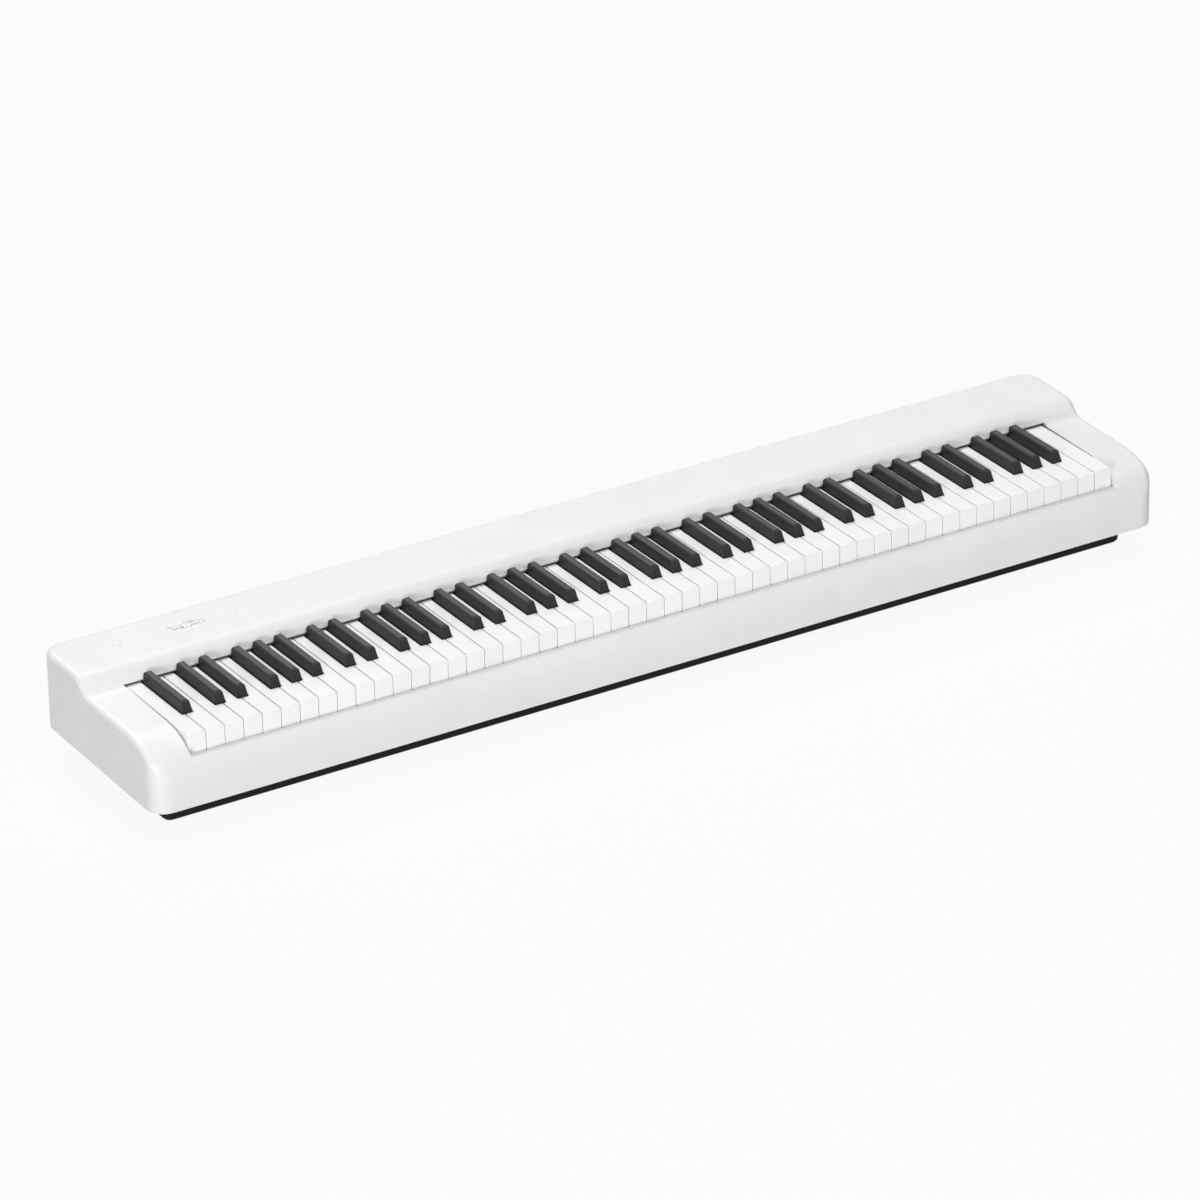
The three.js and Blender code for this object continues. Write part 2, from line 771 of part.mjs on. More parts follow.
function buildKeyFrame() {
  const railHalf = keyRailWidth / 2;
  const restHalf = hammerFeltDepth / 2;
  const ribHalf = frameWall / 2;
  const uprightRear = uprightFront + frameWall;
  const restBottom = hammerRestTop - frameWall;
  const outline = [
    [uprightFront, frameBottom],
    [pivotY + railHalf, frameBottom],
    [pivotY + railHalf, keyRailTop],
    [pivotY - railHalf, keyRailTop],
    [pivotY - railHalf, frameFloor],
    [hammerFeltMiddle + ribHalf, frameFloor],
    [hammerFeltMiddle + ribHalf, restBottom],
    [hammerFeltMiddle + restHalf, restBottom],
    [hammerFeltMiddle + restHalf, hammerRestTop],
    [hammerFeltMiddle - restHalf, hammerRestTop],
    [hammerFeltMiddle - restHalf, restBottom],
    [hammerFeltMiddle - ribHalf, restBottom],
    [hammerFeltMiddle - ribHalf, frameFloor],
    [hammerY + railHalf, frameFloor],
    [hammerY + railHalf, hammerRailTop],
    [hammerY - railHalf, hammerRailTop],
    [hammerY - railHalf, frameFloor],
    [uprightRear, frameFloor],
    [uprightRear, shelfTop - frameWall],
    [shelfRear, shelfTop - frameWall],
    [shelfRear, shelfTop],
    [uprightRear, shelfTop],
    [uprightRear, railTop],
    [railFront, railTop],
    [railFront, railTop - frameWall],
    [uprightFront, railTop - frameWall],
  ];
  const endOutline = [
    [uprightFront, frameBottom],
    [pivotY + frameEndReach, frameBottom],
    [pivotY + frameEndReach, pivotZ + frameEndReach],
    [hammerY, pivotZ + frameEndReach],
    [uprightFront, railTop],
  ];
  const boreLength = frameWall + cutOverrun * 2;
  let frame = alongX(outline, -frameHalf, frameHalf);
  for (const side of [-1, 1]) {
    const x0 = side < 0 ? -frameHalf - frameWall : frameHalf;
    const bore = (radius, y, z) =>
      rod(radius + seatGap, boreLength, alongXAxis, x0 - cutOverrun, y, z, rodFacets);
    const plate = alongX(endOutline, x0, x0 + frameWall)
      .subtract(bore(keyRodRadius, pivotY, pivotZ))
      .subtract(bore(hammerRodRadius, hammerY, hammerZ));
    const windowX = side * speakerFromMiddle;
    const window = speakerWindow(windowX, frameBottom - cutOverrun, frameFloor + cutOverrun);
    frame = frame.add(plate).subtract(window);
  }
  return frame;
}

// The name of a white key by its number from the left, such as c4
function noteName(white) {
  const toFirstC = 2;
  const letter = whiteLetters[white % whiteLetters.length];
  const octave = Math.floor((white - toFirstC) / whiteLetters.length) + 1;
  return letter.toLowerCase() + octave;
}

// The middle of the black key to the right of a white key, or null where there is none.
function blackCentre(white) {
  const letter = whiteLetters[(white + whiteLetters.length) % whiteLetters.length];
  const share = blackCentreShares[letter];
  if (share === undefined || white < 0 || white + 1 >= whiteCount) {
    return null;
  }
  const fromC = (white + whiteLetters.length - whiteLetters.indexOf("C")) % whiteLetters.length;
  const octaveLeft = (white - fromC) * whitePitch - keyboardHalf;
  return octaveLeft + share * whiteLetters.length * whitePitch;
}

// The left and right sides of a white key's head, and of its tail between the black keys.
function whiteSides(white) {
  const left = white * whitePitch - keyboardHalf + keyGap / 2;
  const right = left + whitePitch - keyGap;
  const clear = blackWidth / 2 + blackSideGap;
  const blackLeft = blackCentre(white - 1);
  const blackRight = blackCentre(white);
  return {
    left,
    right,
    tailLeft: blackLeft === null ? left : blackLeft + clear,
    tailRight: blackRight === null ? right : blackRight - clear,
  };
}

// The V notch under a lever, which straddles the pivot rod with a running gap.
function pivotNotch(x0, x1, y, z, rodRadius, foot) {
  const apex = z + (rodRadius + notchGap) * Math.SQRT2;
  const half = apex - foot;
  return alongX([[y - half, foot], [y + half, foot], [y, apex]], x0, x1);
}

// The post under a key that pushes its hammer down.
function actuatorPost(x) {
  const half = postWidth / 2;
  const foot = keyBottom - postLength;
  return box(x - half, x + half, actuatorY - half, actuatorY + half, foot, keyBottom + fuseBite);
}

function whiteKey(white) {
  const { left, right, tailLeft, tailRight } = whiteSides(white);
  const plan = [[left, keyFront], [right, keyFront]];
  if (tailRight < right) {
    plan.push([right, shoulder], [tailRight, shoulder]);
  }
  plan.push([tailRight, keyRear], [tailLeft, keyRear]);
  if (tailLeft > left) {
    plan.push([tailLeft, shoulder], [left, shoulder]);
  }
  const sloped = (setIn, drop) =>
    squareRing(plan, setIn, 0).map(({ x, y }) => new THREE.Vector3(x, y, keyTopAt(y) - drop));
  const lipFoot = keyBottom - keyLipDrop;
  const underside = lipFoot - cutOverrun;
  const behindLip = keyFront + keyLipThickness;
  const key = lofted([squareRing(plan, 0, lipFoot), sloped(0, keyChamfer), sloped(keyChamfer, 0)]);
  const overEnds = keyRear + cutOverrun;
  const undercut = box(left - cutOverrun, right + cutOverrun, behindLip, overEnds, underside, keyBottom);
  const notch = pivotNotch(left, right, pivotY, pivotZ, keyRodRadius, keyBottom - cutOverrun);
  const post = actuatorPost((tailLeft + tailRight) / 2);
  return key.subtract(undercut).subtract(notch).add(post);
}

function blackKey(white) {
  const x = blackCentre(white);
  const half = blackWidth / 2;
  const topHalf = blackTopWidth / 2;
  const foot = keyBottom - blackSkirt;
  const lever = alongX(
    [
      [blackFront, foot],
      [blackTail, foot],
      [blackTail, blackLeverTop],
      [blackRear, blackLeverTop],
      [blackRear, keyTopAt(blackRear)],
      [blackFront, keyTopAt(blackFront)],
    ],
    x - half,
    x + half,
  );
  const ring = (halfWidth, front, rear, rise) => [
    new THREE.Vector3(x - halfWidth, front, keyTopAt(front) + rise),
    new THREE.Vector3(x + halfWidth, front, keyTopAt(front) + rise),
    new THREE.Vector3(x + halfWidth, rear, keyTopAt(rear) + rise),
    new THREE.Vector3(x - halfWidth, rear, keyTopAt(rear) + rise),
  ];
  const crownFront = blackFront + blackNose + blackCrown * 2;
  const cap = lofted([
    ring(half, blackFront, blackRear, 0),
    ring(topHalf, blackFront + blackNose, blackRear, blackRise - blackCrown),
    ring(topHalf - blackCrown, crownFront, blackRear - blackCrown / 2, blackRise),
  ]);
  const notch = pivotNotch(x - whitePitch, x + whitePitch, pivotY, pivotZ, keyRodRadius, foot - cutOverrun);
  return lever.add(cap).subtract(notch).add(actuatorPost(x));
}

// One hammer: a bar with a weighted heel, notched over the hammer rod.
function hammer(x) {
  const half = hammerWidth / 2;
  const apex = (hammerRodRadius + notchGap) * Math.SQRT2;
  const toe = -hammerArm - hammerToe;
  const outline = [
    [toe, hammerTop - hammerBar],
    [-apex, 0],
    [0, apex],
    [apex, 0],
    [weightStart, -weightDepth],
    [hammerHeel, -weightDepth],
    [hammerHeel, hammerTop],
    [toe, hammerTop],
  ].map(([y, z]) => [hammerY + y, hammerZ + z]);
  return alongX(outline, x - half, x + half);
}

function leverX(white, black) {
  const { tailLeft, tailRight } = whiteSides(white);
  return black ? blackCentre(white) : (tailLeft + tailRight) / 2;
}

// A run of keys moulded together: the strip at their rear ends carries them.
function whiteComb(whites) {
  const first = whiteSides(whites[0]).tailLeft;
  const last = whiteSides(whites.at(-1)).tailRight;
  const strip = box(first, last, keyRear, keyRear + stripDepth, pivotZ, pivotZ + stripThickness);
  return joined([...whites.map(whiteKey), strip]);
}

function blackComb(whites) {
  const first = blackCentre(whites[0]) - blackWidth / 2;
  const last = blackCentre(whites.at(-1)) + blackWidth / 2;
  const top = keyBottom - blackSkirt;
  const strip = box(first, last, blackTail - stripDepth, blackTail, top - stripThickness, top);
  return joined([...whites.map(blackKey), strip]);
}

function hammerComb(places) {
  const half = hammerWidth / 2;
  const top = hammerZ + hammerTop;
  const barHalf = hubBarDepth / 2;
  const bar = box(
    Math.min(...places) - half,
    Math.max(...places) + half,
    hammerY - barHalf,
    hammerY + barHalf,
    top,
    top + hubBarThickness,
  );
  return joined([...places.map(hammer), bar]);
}

function addKeysAndHammers() {
  for (const white of keyRuns.find((run) => run.name === singleRun).whites) {
    const name = noteName(white);
    addPart(`key_${name}`, whiteKey(white), "white_key");
    addPart(`hammer_${name}`, hammer(leverX(white, false)), "hammer_plastic");
    if (blackCentre(white) !== null) {
      addPart(`key_${name}_sharp`, blackKey(white), "black_key");
      addPart(`hammer_${name}_sharp`, hammer(leverX(white, true)), "hammer_plastic");
    }
  }
  for (const { name, whites } of keyRuns.filter((run) => run.name !== singleRun)) {
    const blacks = whites.filter((white) => blackCentre(white) !== null);
    const places = [...whites.map((w) => leverX(w, false)), ...blacks.map((w) => leverX(w, true))];
    addPart(`white_keys_${name}`, whiteComb(whites), "white_key");
    addPart(`black_keys_${name}`, blackComb(blacks), "black_key");
    addPart(`hammers_${name}`, hammerComb(places.sort((a, b) => a - b)), "hammer_plastic");
  }
}

function addRodsAndFelts() {
  const end = frameHalf + frameWall;
  addPart(
    "key_pivot_rod",
    rod(keyRodRadius, end * 2, alongXAxis, -end, pivotY, pivotZ, rodFacets),
    "steel",
  );
  addPart(
    "hammer_pivot_rod",
    rod(hammerRodRadius, end * 2, alongXAxis, -end, hammerY, hammerZ, rodFacets),
    "steel",
  );
  const feltBottom = lineTop + feltGap;
  const feltFront = keyLine - feltProud;
  addPart(
    "key_felt",
    box(
      -wellHalf + seatGap,
      wellHalf - seatGap,
      feltFront,
      keyLine + feltFlangeDepth - seatGap,
      feltBottom,
      feltBottom + feltThickness,
    ),
    "dark_felt",
  );
  addPart(
    "front_stop_felt",
    box(
      -keyboardHalf,
      keyboardHalf,
      stopFeltFront,
      stopFeltFront + stopFeltDepth,
      stopFeltTop - stopFeltThickness,
      stopFeltTop,
    ),
    "dark_felt",
  );
  const restHalf = hammerFeltDepth / 2;
  addPart(
    "hammer_rest_felt",
    box(
      -keyboardHalf,
      keyboardHalf,
      hammerFeltMiddle - restHalf,
      hammerFeltMiddle + restHalf,
      hammerFeltTop - hammerFeltThickness,
      hammerFeltTop,
    ),
    "dark_felt",
  );
}

function addContacts() {
  addPart(
    "contact_board",
    box(
      -keyboardHalf,
      keyboardHalf,
      boardFront,
      shelfRear - rubberSole,
      contactBoardTop - contactBoardThickness,
      contactBoardTop,
    ),
    "circuit_board",
  );
  const ridgeHalf = rubberRidge / 2;
  const crestHalf = rubberCrest / 2;
  const soleTop = rubberBottom + rubberSole;
  const outline = [
    [rubberFront, rubberBottom],
    [rubberFront + rubberDepth, rubberBottom],
    [rubberFront + rubberDepth, soleTop],
    [rubberMiddle + ridgeHalf, soleTop],
    [rubberMiddle + crestHalf, rubberTop],
    [rubberMiddle - crestHalf, rubberTop],
    [rubberMiddle - ridgeHalf, soleTop],
    [rubberFront, soleTop],
  ];
  addPart("contact_rubber", alongX(outline, -keyboardHalf, keyboardHalf), "contact_rubber");
}

function buildSpeaker(middleX) {
  const bottom = footHeight + baseWall + seatGap;
  const ring = (setIn, z) => {
    const halfX = speakerLength / 2 - setIn;
    const halfY = speakerWidth / 2 - setIn;
    const front = speakerY - halfY;
    const rear = front + halfY * 2;
    return roundRing(middleX - halfX, middleX + halfX, front, rear, halfY, z, speakerCornerSteps);
  };
  const flangeTopZ = bottom + speakerFlange;
  const basketTop = flangeTopZ + speakerBasketHeight;
  const basket = lofted([
    ring(0, bottom),
    ring(0, flangeTopZ),
    ring(speakerRim, flangeTopZ),
    ring(speakerRim * 2, basketTop),
  ]);
  const magnetFoot = basketTop - fuseBite;
  const magnetHeight = speakerMagnetHeight + fuseBite;
  const magnet = rod(
    speakerMagnetRadius,
    magnetHeight,
    alongZAxis,
    middleX,
    speakerY,
    magnetFoot,
    speakerFacets,
  );
  const cone = lofted([
    ring(speakerRim, bottom - cutOverrun),
    ring(speakerRim, bottom),
    ring(speakerConeWidth + speakerRim, bottom + speakerConeDepth),
  ]);
  return basket.add(magnet).subtract(cone);
}

function buildJack(x) {
  const half = jackSide / 2;
  const front = innerRear - seatGap - jackDepth;
  const rear = caseRear - socketRecess;
  const boreFront = front + socketBack;
  const body = box(x - half, x + half, front, innerRear - seatGap, socketBottom, socketBottom + jackHeight);
  const nose = rod(jackNoseRadius, rear - boreFront, alongYAxis, x, boreFront, jackMiddle, rodFacets);
  const length = rear - boreFront + cutOverrun;
  const bore = rod(jackBore, length, alongYAxis, x, boreFront, jackMiddle, rodFacets);
  return body.add(nose).subtract(bore);
}

function buildUsbSocket() {
  const half = usbWidth / 2;
  const rear = caseRear - socketRecess;
  const front = rear - usbDepth - socketBack;
  const cavityHalf = usbCavityWidth / 2;
  const cavityHalfHeight = usbCavityHeight / 2;
  const tongueHalf = usbTongueWidth / 2;
  const tongueHalfHeight = usbTongueHeight / 2;
  const body = box(usbX - half, usbX + half, front, rear, socketBottom, socketBottom + usbHeight);
  const cavity = box(
    usbX - cavityHalf,
    usbX + cavityHalf,
    rear - usbDepth,
    rear + cutOverrun,
    usbMiddle - cavityHalfHeight,
    usbMiddle + cavityHalfHeight,
  );
  const tongue = box(
    usbX - tongueHalf,
    usbX + tongueHalf,
    rear - usbDepth - fuseBite,
    rear - cutOverrun,
    usbMiddle - tongueHalfHeight,
    usbMiddle + tongueHalfHeight,
  );
  return body.subtract(cavity).add(tongue);
}

function buildPowerInlet() {
  const half = powerSide / 2;
  const rear = caseRear - socketRecess;
  const bodyRear = innerRear - seatGap;
  const front = rear - powerDepth - socketBack;
  const boreFront = rear - powerDepth;
  const length = powerDepth + cutOverrun;
  const body = box(powerX - half, powerX + half, front, bodyRear, socketBottom, socketBottom + powerSide);
  const nose = rod(powerNoseRadius, powerDepth, alongYAxis, powerX, boreFront, powerMiddle, rodFacets);
  const bore = rod(powerBore, length, alongYAxis, powerX, boreFront, powerMiddle, rodFacets);
  const pinFront = boreFront - fuseBite;
  const pinLength = powerDepth + fuseBite - cutOverrun;
  const pin = rod(powerPin, pinLength, alongYAxis, powerX, pinFront, powerMiddle, rodFacets);
  return body.add(nose).subtract(bore).add(pin);
}

function addElectronics() {
  const boardHalf = boardLength / 2;
  addPart(
    "main_board",
    box(
      -boardHalf,
      boardHalf,
      keyRear + boardThickness,
      innerRear - seatGap,
      mainBoardBottom,
      mainBoardBottom + boardThickness,
    ),
    "circuit_board",
  );
  addPart("dc_inlet", buildPowerInlet(), "socket_plastic");
  addPart("usb_socket", buildUsbSocket(), "steel");
  addPart("pedal_jack", buildJack(pedalX), "socket_plastic");
  addPart("phones_jack", buildJack(phonesX), "socket_plastic");
  addPart("speaker_left", buildSpeaker(-speakerFromMiddle), "speaker_cone");
  addPart("speaker_right", buildSpeaker(speakerFromMiddle), "speaker_cone");
}

// The buttons have a collar that stops under the deck, and the slider a shutter that closes its slot.
function addControls() {
  const collarTop = deckUnderside - seatGap;
  const foot = deckTop - buttonSkirt;
  const powerProfile = [
    [0, 0],
    [powerButtonRadius + buttonCollar, 0],
    [powerButtonRadius + buttonCollar, collarTop - foot],
    [powerButtonRadius, collarTop - foot],
    [powerButtonRadius, controlTop - buttonCrown - foot],
    [powerButtonRadius - buttonCrown, controlTop - foot],
    [0, controlTop - foot],
  ];
  addPart(
    "power_button",
    turned(powerProfile, alongZAxis, powerButtonX, controlY, foot, rodFacets),
    "white_shell",
  );
  const ringOf = (x, halfX, halfY, setIn, z) =>
    roundRing(
      x - halfX + setIn,
      x + halfX - setIn,
      controlY - halfY + setIn,
      controlY + halfY - setIn,
      buttonCrown * 2 - setIn,
      z,
      slopeSteps,
    );
  const buttonHalfX = functionButtonLength / 2;
  const buttonHalfY = functionButtonDepth / 2;
  addPart(
    "function_button",
    lofted([
      ringOf(functionButtonX, buttonHalfX, buttonHalfY, -buttonCollar, foot),
      ringOf(functionButtonX, buttonHalfX, buttonHalfY, -buttonCollar, collarTop),
      ringOf(functionButtonX, buttonHalfX, buttonHalfY, 0, collarTop),
      ringOf(functionButtonX, buttonHalfX, buttonHalfY, 0, controlTop - buttonCrown),
      ringOf(functionButtonX, buttonHalfX, buttonHalfY, buttonCrown, controlTop),
    ]),
    "white_shell",
  );
  const stemHalf = sliderStemLength / 2;
  const stemDepth = sliderStemDepth / 2;
  const knobFoot = deckTop - sliderRecess + seatGap;
  const knobX = sliderKnobLength / 2;
  const knobY = sliderKnobDepth / 2;
  addPart(
    "volume_slider",
    joined([
      lofted([
        ringOf(sliderX, knobX, knobY, 0, knobFoot),
        ringOf(sliderX, knobX, knobY, 0, controlTop - buttonCrown),
        ringOf(sliderX, knobX, knobY, buttonCrown, controlTop),
      ]),
      box(
        sliderX - stemHalf,
        sliderX + stemHalf,
        controlY - stemDepth,
        controlY + stemDepth,
        sliderFoot,
        knobFoot + fuseBite,
      ),
      box(
        sliderX - shutterHalf,
        sliderX + shutterHalf,
        controlY - shutterHalfDepth,
        controlY + shutterHalfDepth,
        collarTop - shutterThickness,
        collarTop,
      ),
    ]),
    "white_shell",
  );
}

function addFeet() {
  const x = caseHalfLength - baseInsetSide - footInsetX;
  const front = caseFront + baseInsetFront + footInsetY;
  const rear = caseRear - baseInsetRear - footInsetY;
  addPart("foot_front_left", buildFoot(-x, front), "foot_rubber");
  addPart("foot_front_right", buildFoot(x, front), "foot_rubber");
  addPart("foot_rear_left", buildFoot(-x, rear), "foot_rubber");
  addPart("foot_rear_right", buildFoot(x, rear), "foot_rubber");
}

addPart("upper_case", buildUpperCase(), "white_shell");
addPart("lower_case", buildLowerCase(), "black_base");
addPart("key_frame", buildKeyFrame(), "frame_plastic");
addRodsAndFelts();
addContacts();
addKeysAndHammers();
addElectronics();
addControls();
addFeet();

export default piano;
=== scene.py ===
"""The finished look of a slab digital piano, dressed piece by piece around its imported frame.

Metres, in the frame's own axes: +X from bass to treble, +Y to the rear, +Z up.
"""

from __future__ import annotations

import json
import logging
import math
from collections.abc import Callable, Iterator
from contextlib import contextmanager
from dataclasses import dataclass
from enum import Enum

import bpy
from mathutils import Matrix, Vector


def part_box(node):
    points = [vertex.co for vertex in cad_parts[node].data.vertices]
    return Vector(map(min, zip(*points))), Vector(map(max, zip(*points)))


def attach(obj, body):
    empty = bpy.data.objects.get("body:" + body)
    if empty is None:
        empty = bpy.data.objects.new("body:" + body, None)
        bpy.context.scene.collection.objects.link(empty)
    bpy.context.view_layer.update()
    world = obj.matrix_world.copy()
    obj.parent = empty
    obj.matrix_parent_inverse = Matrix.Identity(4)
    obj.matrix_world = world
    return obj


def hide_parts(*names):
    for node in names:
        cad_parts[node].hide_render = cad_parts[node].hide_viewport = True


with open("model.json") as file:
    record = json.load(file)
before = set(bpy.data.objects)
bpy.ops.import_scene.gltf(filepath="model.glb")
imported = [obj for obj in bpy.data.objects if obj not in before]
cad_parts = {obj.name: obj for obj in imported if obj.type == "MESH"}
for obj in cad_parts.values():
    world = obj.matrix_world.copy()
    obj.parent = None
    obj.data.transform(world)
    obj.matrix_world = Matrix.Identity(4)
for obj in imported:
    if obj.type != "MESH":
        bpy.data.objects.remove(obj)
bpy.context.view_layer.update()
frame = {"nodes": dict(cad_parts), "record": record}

log = logging.getLogger("piano")

MM = 0.001
WHITE = (1.0, 1.0, 1.0, 1.0)
# Faces that turn less than this are one flat face, and vertices nearer than this are one
FLAT = math.radians(0.4)
WELD = 0.002 * MM
# How much of an axis is in a direction that runs along it
ALONG = 0.9
# Where most of a noise's values lie, and how many finer layers it has
NOISE_RANGE = (0.3, 0.7)
PATCH_DETAIL = 3
GRAIN_DETAIL = 2

Colour = tuple[float, float, float]
Chooser = Callable[[Vector, Vector], bool]


class Element(Enum):
    """The kind of mesh element that an edit works on."""

    VERTEX = "VERT"
    EDGE = "EDGE"
    FACE = "FACE"


class Side(Enum):
    """The two ends of the piano, as signs along X."""

    BASS = -1
    TREBLE = 1


class Turn(Enum):
    """Which way a round piece's axis lies, as turns about X, Y and Z in radians."""

    UPRIGHT = (0.0, 0.0, 0.0)
    ALONG_Y = (math.pi / 2, 0.0, 0.0)


def deselect() -> None:
    """Leaves nothing selected, which the frame's own pieces otherwise are."""
    bpy.ops.object.select_all(action="DESELECT")


def activate(piece: bpy.types.Object) -> None:
    """Selects one piece alone and makes it the active one.

    Args:
        piece: the piece that the next operator acts on.
    """
    deselect()
    piece.select_set(True)
    bpy.context.view_layer.objects.active = piece


@contextmanager
def editing(piece: bpy.types.Object, kind: Element, chosen: Chooser) -> Iterator[None]:
    """Opens a piece in edit mode with only the chosen elements selected.

    Args:
        piece: the piece to edit.
        kind: vertices, edges or faces.
        chosen: told an element's middle and its normal, or an edge's direction; says whether to select it.

    Yields:
        Nothing: the edit goes on until the block ends.
    """
    activate(piece)
    bpy.ops.object.mode_set(mode="EDIT")
    bpy.ops.mesh.select_mode(type=kind.value)
    bpy.ops.mesh.select_all(action="DESELECT")
    bpy.ops.object.mode_set(mode="OBJECT")
    mesh = piece.data
    if kind is Element.VERTEX:
        for vertex in mesh.vertices:
            vertex.select = chosen(vertex.co, vertex.normal)
    elif kind is Element.EDGE:
        for edge in mesh.edges:
            a, b = (mesh.vertices[i].co for i in edge.vertices)
            edge.select = chosen((a + b) / 2, (b - a).normalized())
    else:
        for face in mesh.polygons:
            face.select = chosen(face.center, face.normal)
    bpy.ops.object.mode_set(mode="EDIT")
    yield
    bpy.ops.object.mode_set(mode="OBJECT")


def everything(_middle: Vector, _normal: Vector) -> bool:
    """Chooses every element."""
    return True


def settled(name: str) -> bpy.types.Object:
    """Names the primitive that was just added, with its place moved into its mesh.

    Args:
        name: the piece's name.

    Returns:
        The piece, at the origin, unturned and unscaled.
    """
    piece = bpy.context.active_object
    piece.name = name
    piece.data.name = name
    activate(piece)
    bpy.ops.object.transform_apply(location=True, rotation=True, scale=True)
    return piece


def block(name: str, low: Vector, high: Vector) -> bpy.types.Object:
    """Adds a cube between two corners, as the start of a piece.

    Args:
        name: the piece's name.
        low: its lowest corner.
        high: its highest corner.

    Returns:
        The new piece.
    """
    deselect()
    bpy.ops.mesh.primitive_cube_add(size=1, location=(low + high) / 2, scale=high - low)
    return settled(name)


def disc(
    name: str,
    radius: float,
    depth: float,
    middle: Vector,
    sides: int,
    turn: Turn = Turn.UPRIGHT,
) -> bpy.types.Object:
    """Adds a cylinder, as the start of a round piece.

    Args:
        name: the piece's name.
        radius: its radius.
        depth: its length along its axis.
        middle: its middle.
        sides: how many sides it has.
        turn: which way its axis lies.

    Returns:
        The new piece.
    """
    deselect()
    bpy.ops.mesh.primitive_cylinder_add(
        vertices=sides,
        radius=radius,
        depth=depth,
        location=middle,
        rotation=turn.value,
    )
    return settled(name)


def applied(piece: bpy.types.Object, kind: str, **settings: object) -> None:
    """Adds a modifier to a piece and applies it.

    Args:
        piece: the piece.
        kind: the modifier's type.
        **settings: its settings by name.
    """
    activate(piece)
    modifier = piece.modifiers.new(kind.lower(), kind)
    for setting, value in settings.items():
        setattr(modifier, setting, value)
    bpy.ops.object.modifier_apply(modifier=modifier.name)


def smoothed(piece: bpy.types.Object, up_to: float) -> None:
    """Shades a piece smooth across shallow edges, with large flat faces kept flat.

    Args:
        piece: the piece.
        up_to: edges that turn less than this many degrees are smooth.
    """
    activate(piece)
    bpy.ops.object.shade_smooth_by_angle(angle=math.radians(up_to))
    applied(piece, "WEIGHTED_NORMAL", mode="FACE_AREA", keep_sharp=True)


@dataclass(frozen=True)
class Rounding:
    """How a piece's edges are rounded and shaded.

    Attributes:
        width: how far the rounding reaches from the edge.
        segments: how many facets it has.
        over: edges that turn more than this many degrees are rounded.
        smooth: edges that turn less than this many degrees are shaded smooth.
    """

    width: float
    segments: int = 3
    over: float = 40.0
    smooth: float = 40.0

    def give(self, piece: bpy.types.Object) -> None:
        """Rounds a piece's edges and shades it.

        Args:
            piece: the piece.
        """
        applied(
            piece,
            "BEVEL",
            width=self.width,
            segments=self.segments,
            limit_method="ANGLE",
            angle_limit=math.radians(self.over),
            miter_outer="MITER_ARC",
        )
        smoothed(piece, self.smooth)


def cut_by(piece: bpy.types.Object, tool: bpy.types.Object) -> None:
    """Cuts a piece by a closed form, which is then removed."""
    applied(piece, "BOOLEAN", object=tool, operation="DIFFERENCE", solver="EXACT")
    bpy.data.objects.remove(tool)


def copied(piece: bpy.types.Object, name: str, move: Vector) -> bpy.types.Object:
    """Copies a piece, with a mesh of its own.

    Args:
        piece: the piece.
        name: the copy's name.
        move: how far the copy lies from it.

    Returns:
        The copy.
    """
    twin = piece.copy()
    twin.data = piece.data.copy()
    twin.data.transform(Matrix.Translation(move))
    twin.name = name
    twin.data.name = name
    bpy.context.collection.objects.link(twin)
    return twin


def moulding(node: str, name: str) -> bpy.types.Object:
    """Copies a frame node's mesh as one skin of flat faces, ready for its edges to be eased.

    Args:
        node: the frame node.
        name: the new piece's name.

    Returns:
        The new piece.
    """
    source = frame["nodes"][node]
    piece = bpy.data.objects.new(name, source.data.copy())
    piece.data.name = name
    piece.data.materials.clear()
    bpy.context.collection.objects.link(piece)
    with editing(piece, Element.FACE, everything):
        bpy.ops.mesh.remove_doubles(threshold=WELD)
        bpy.ops.mesh.customdata_custom_splitnormals_clear()
        bpy.ops.mesh.dissolve_limited(angle_limit=FLAT)
    return piece


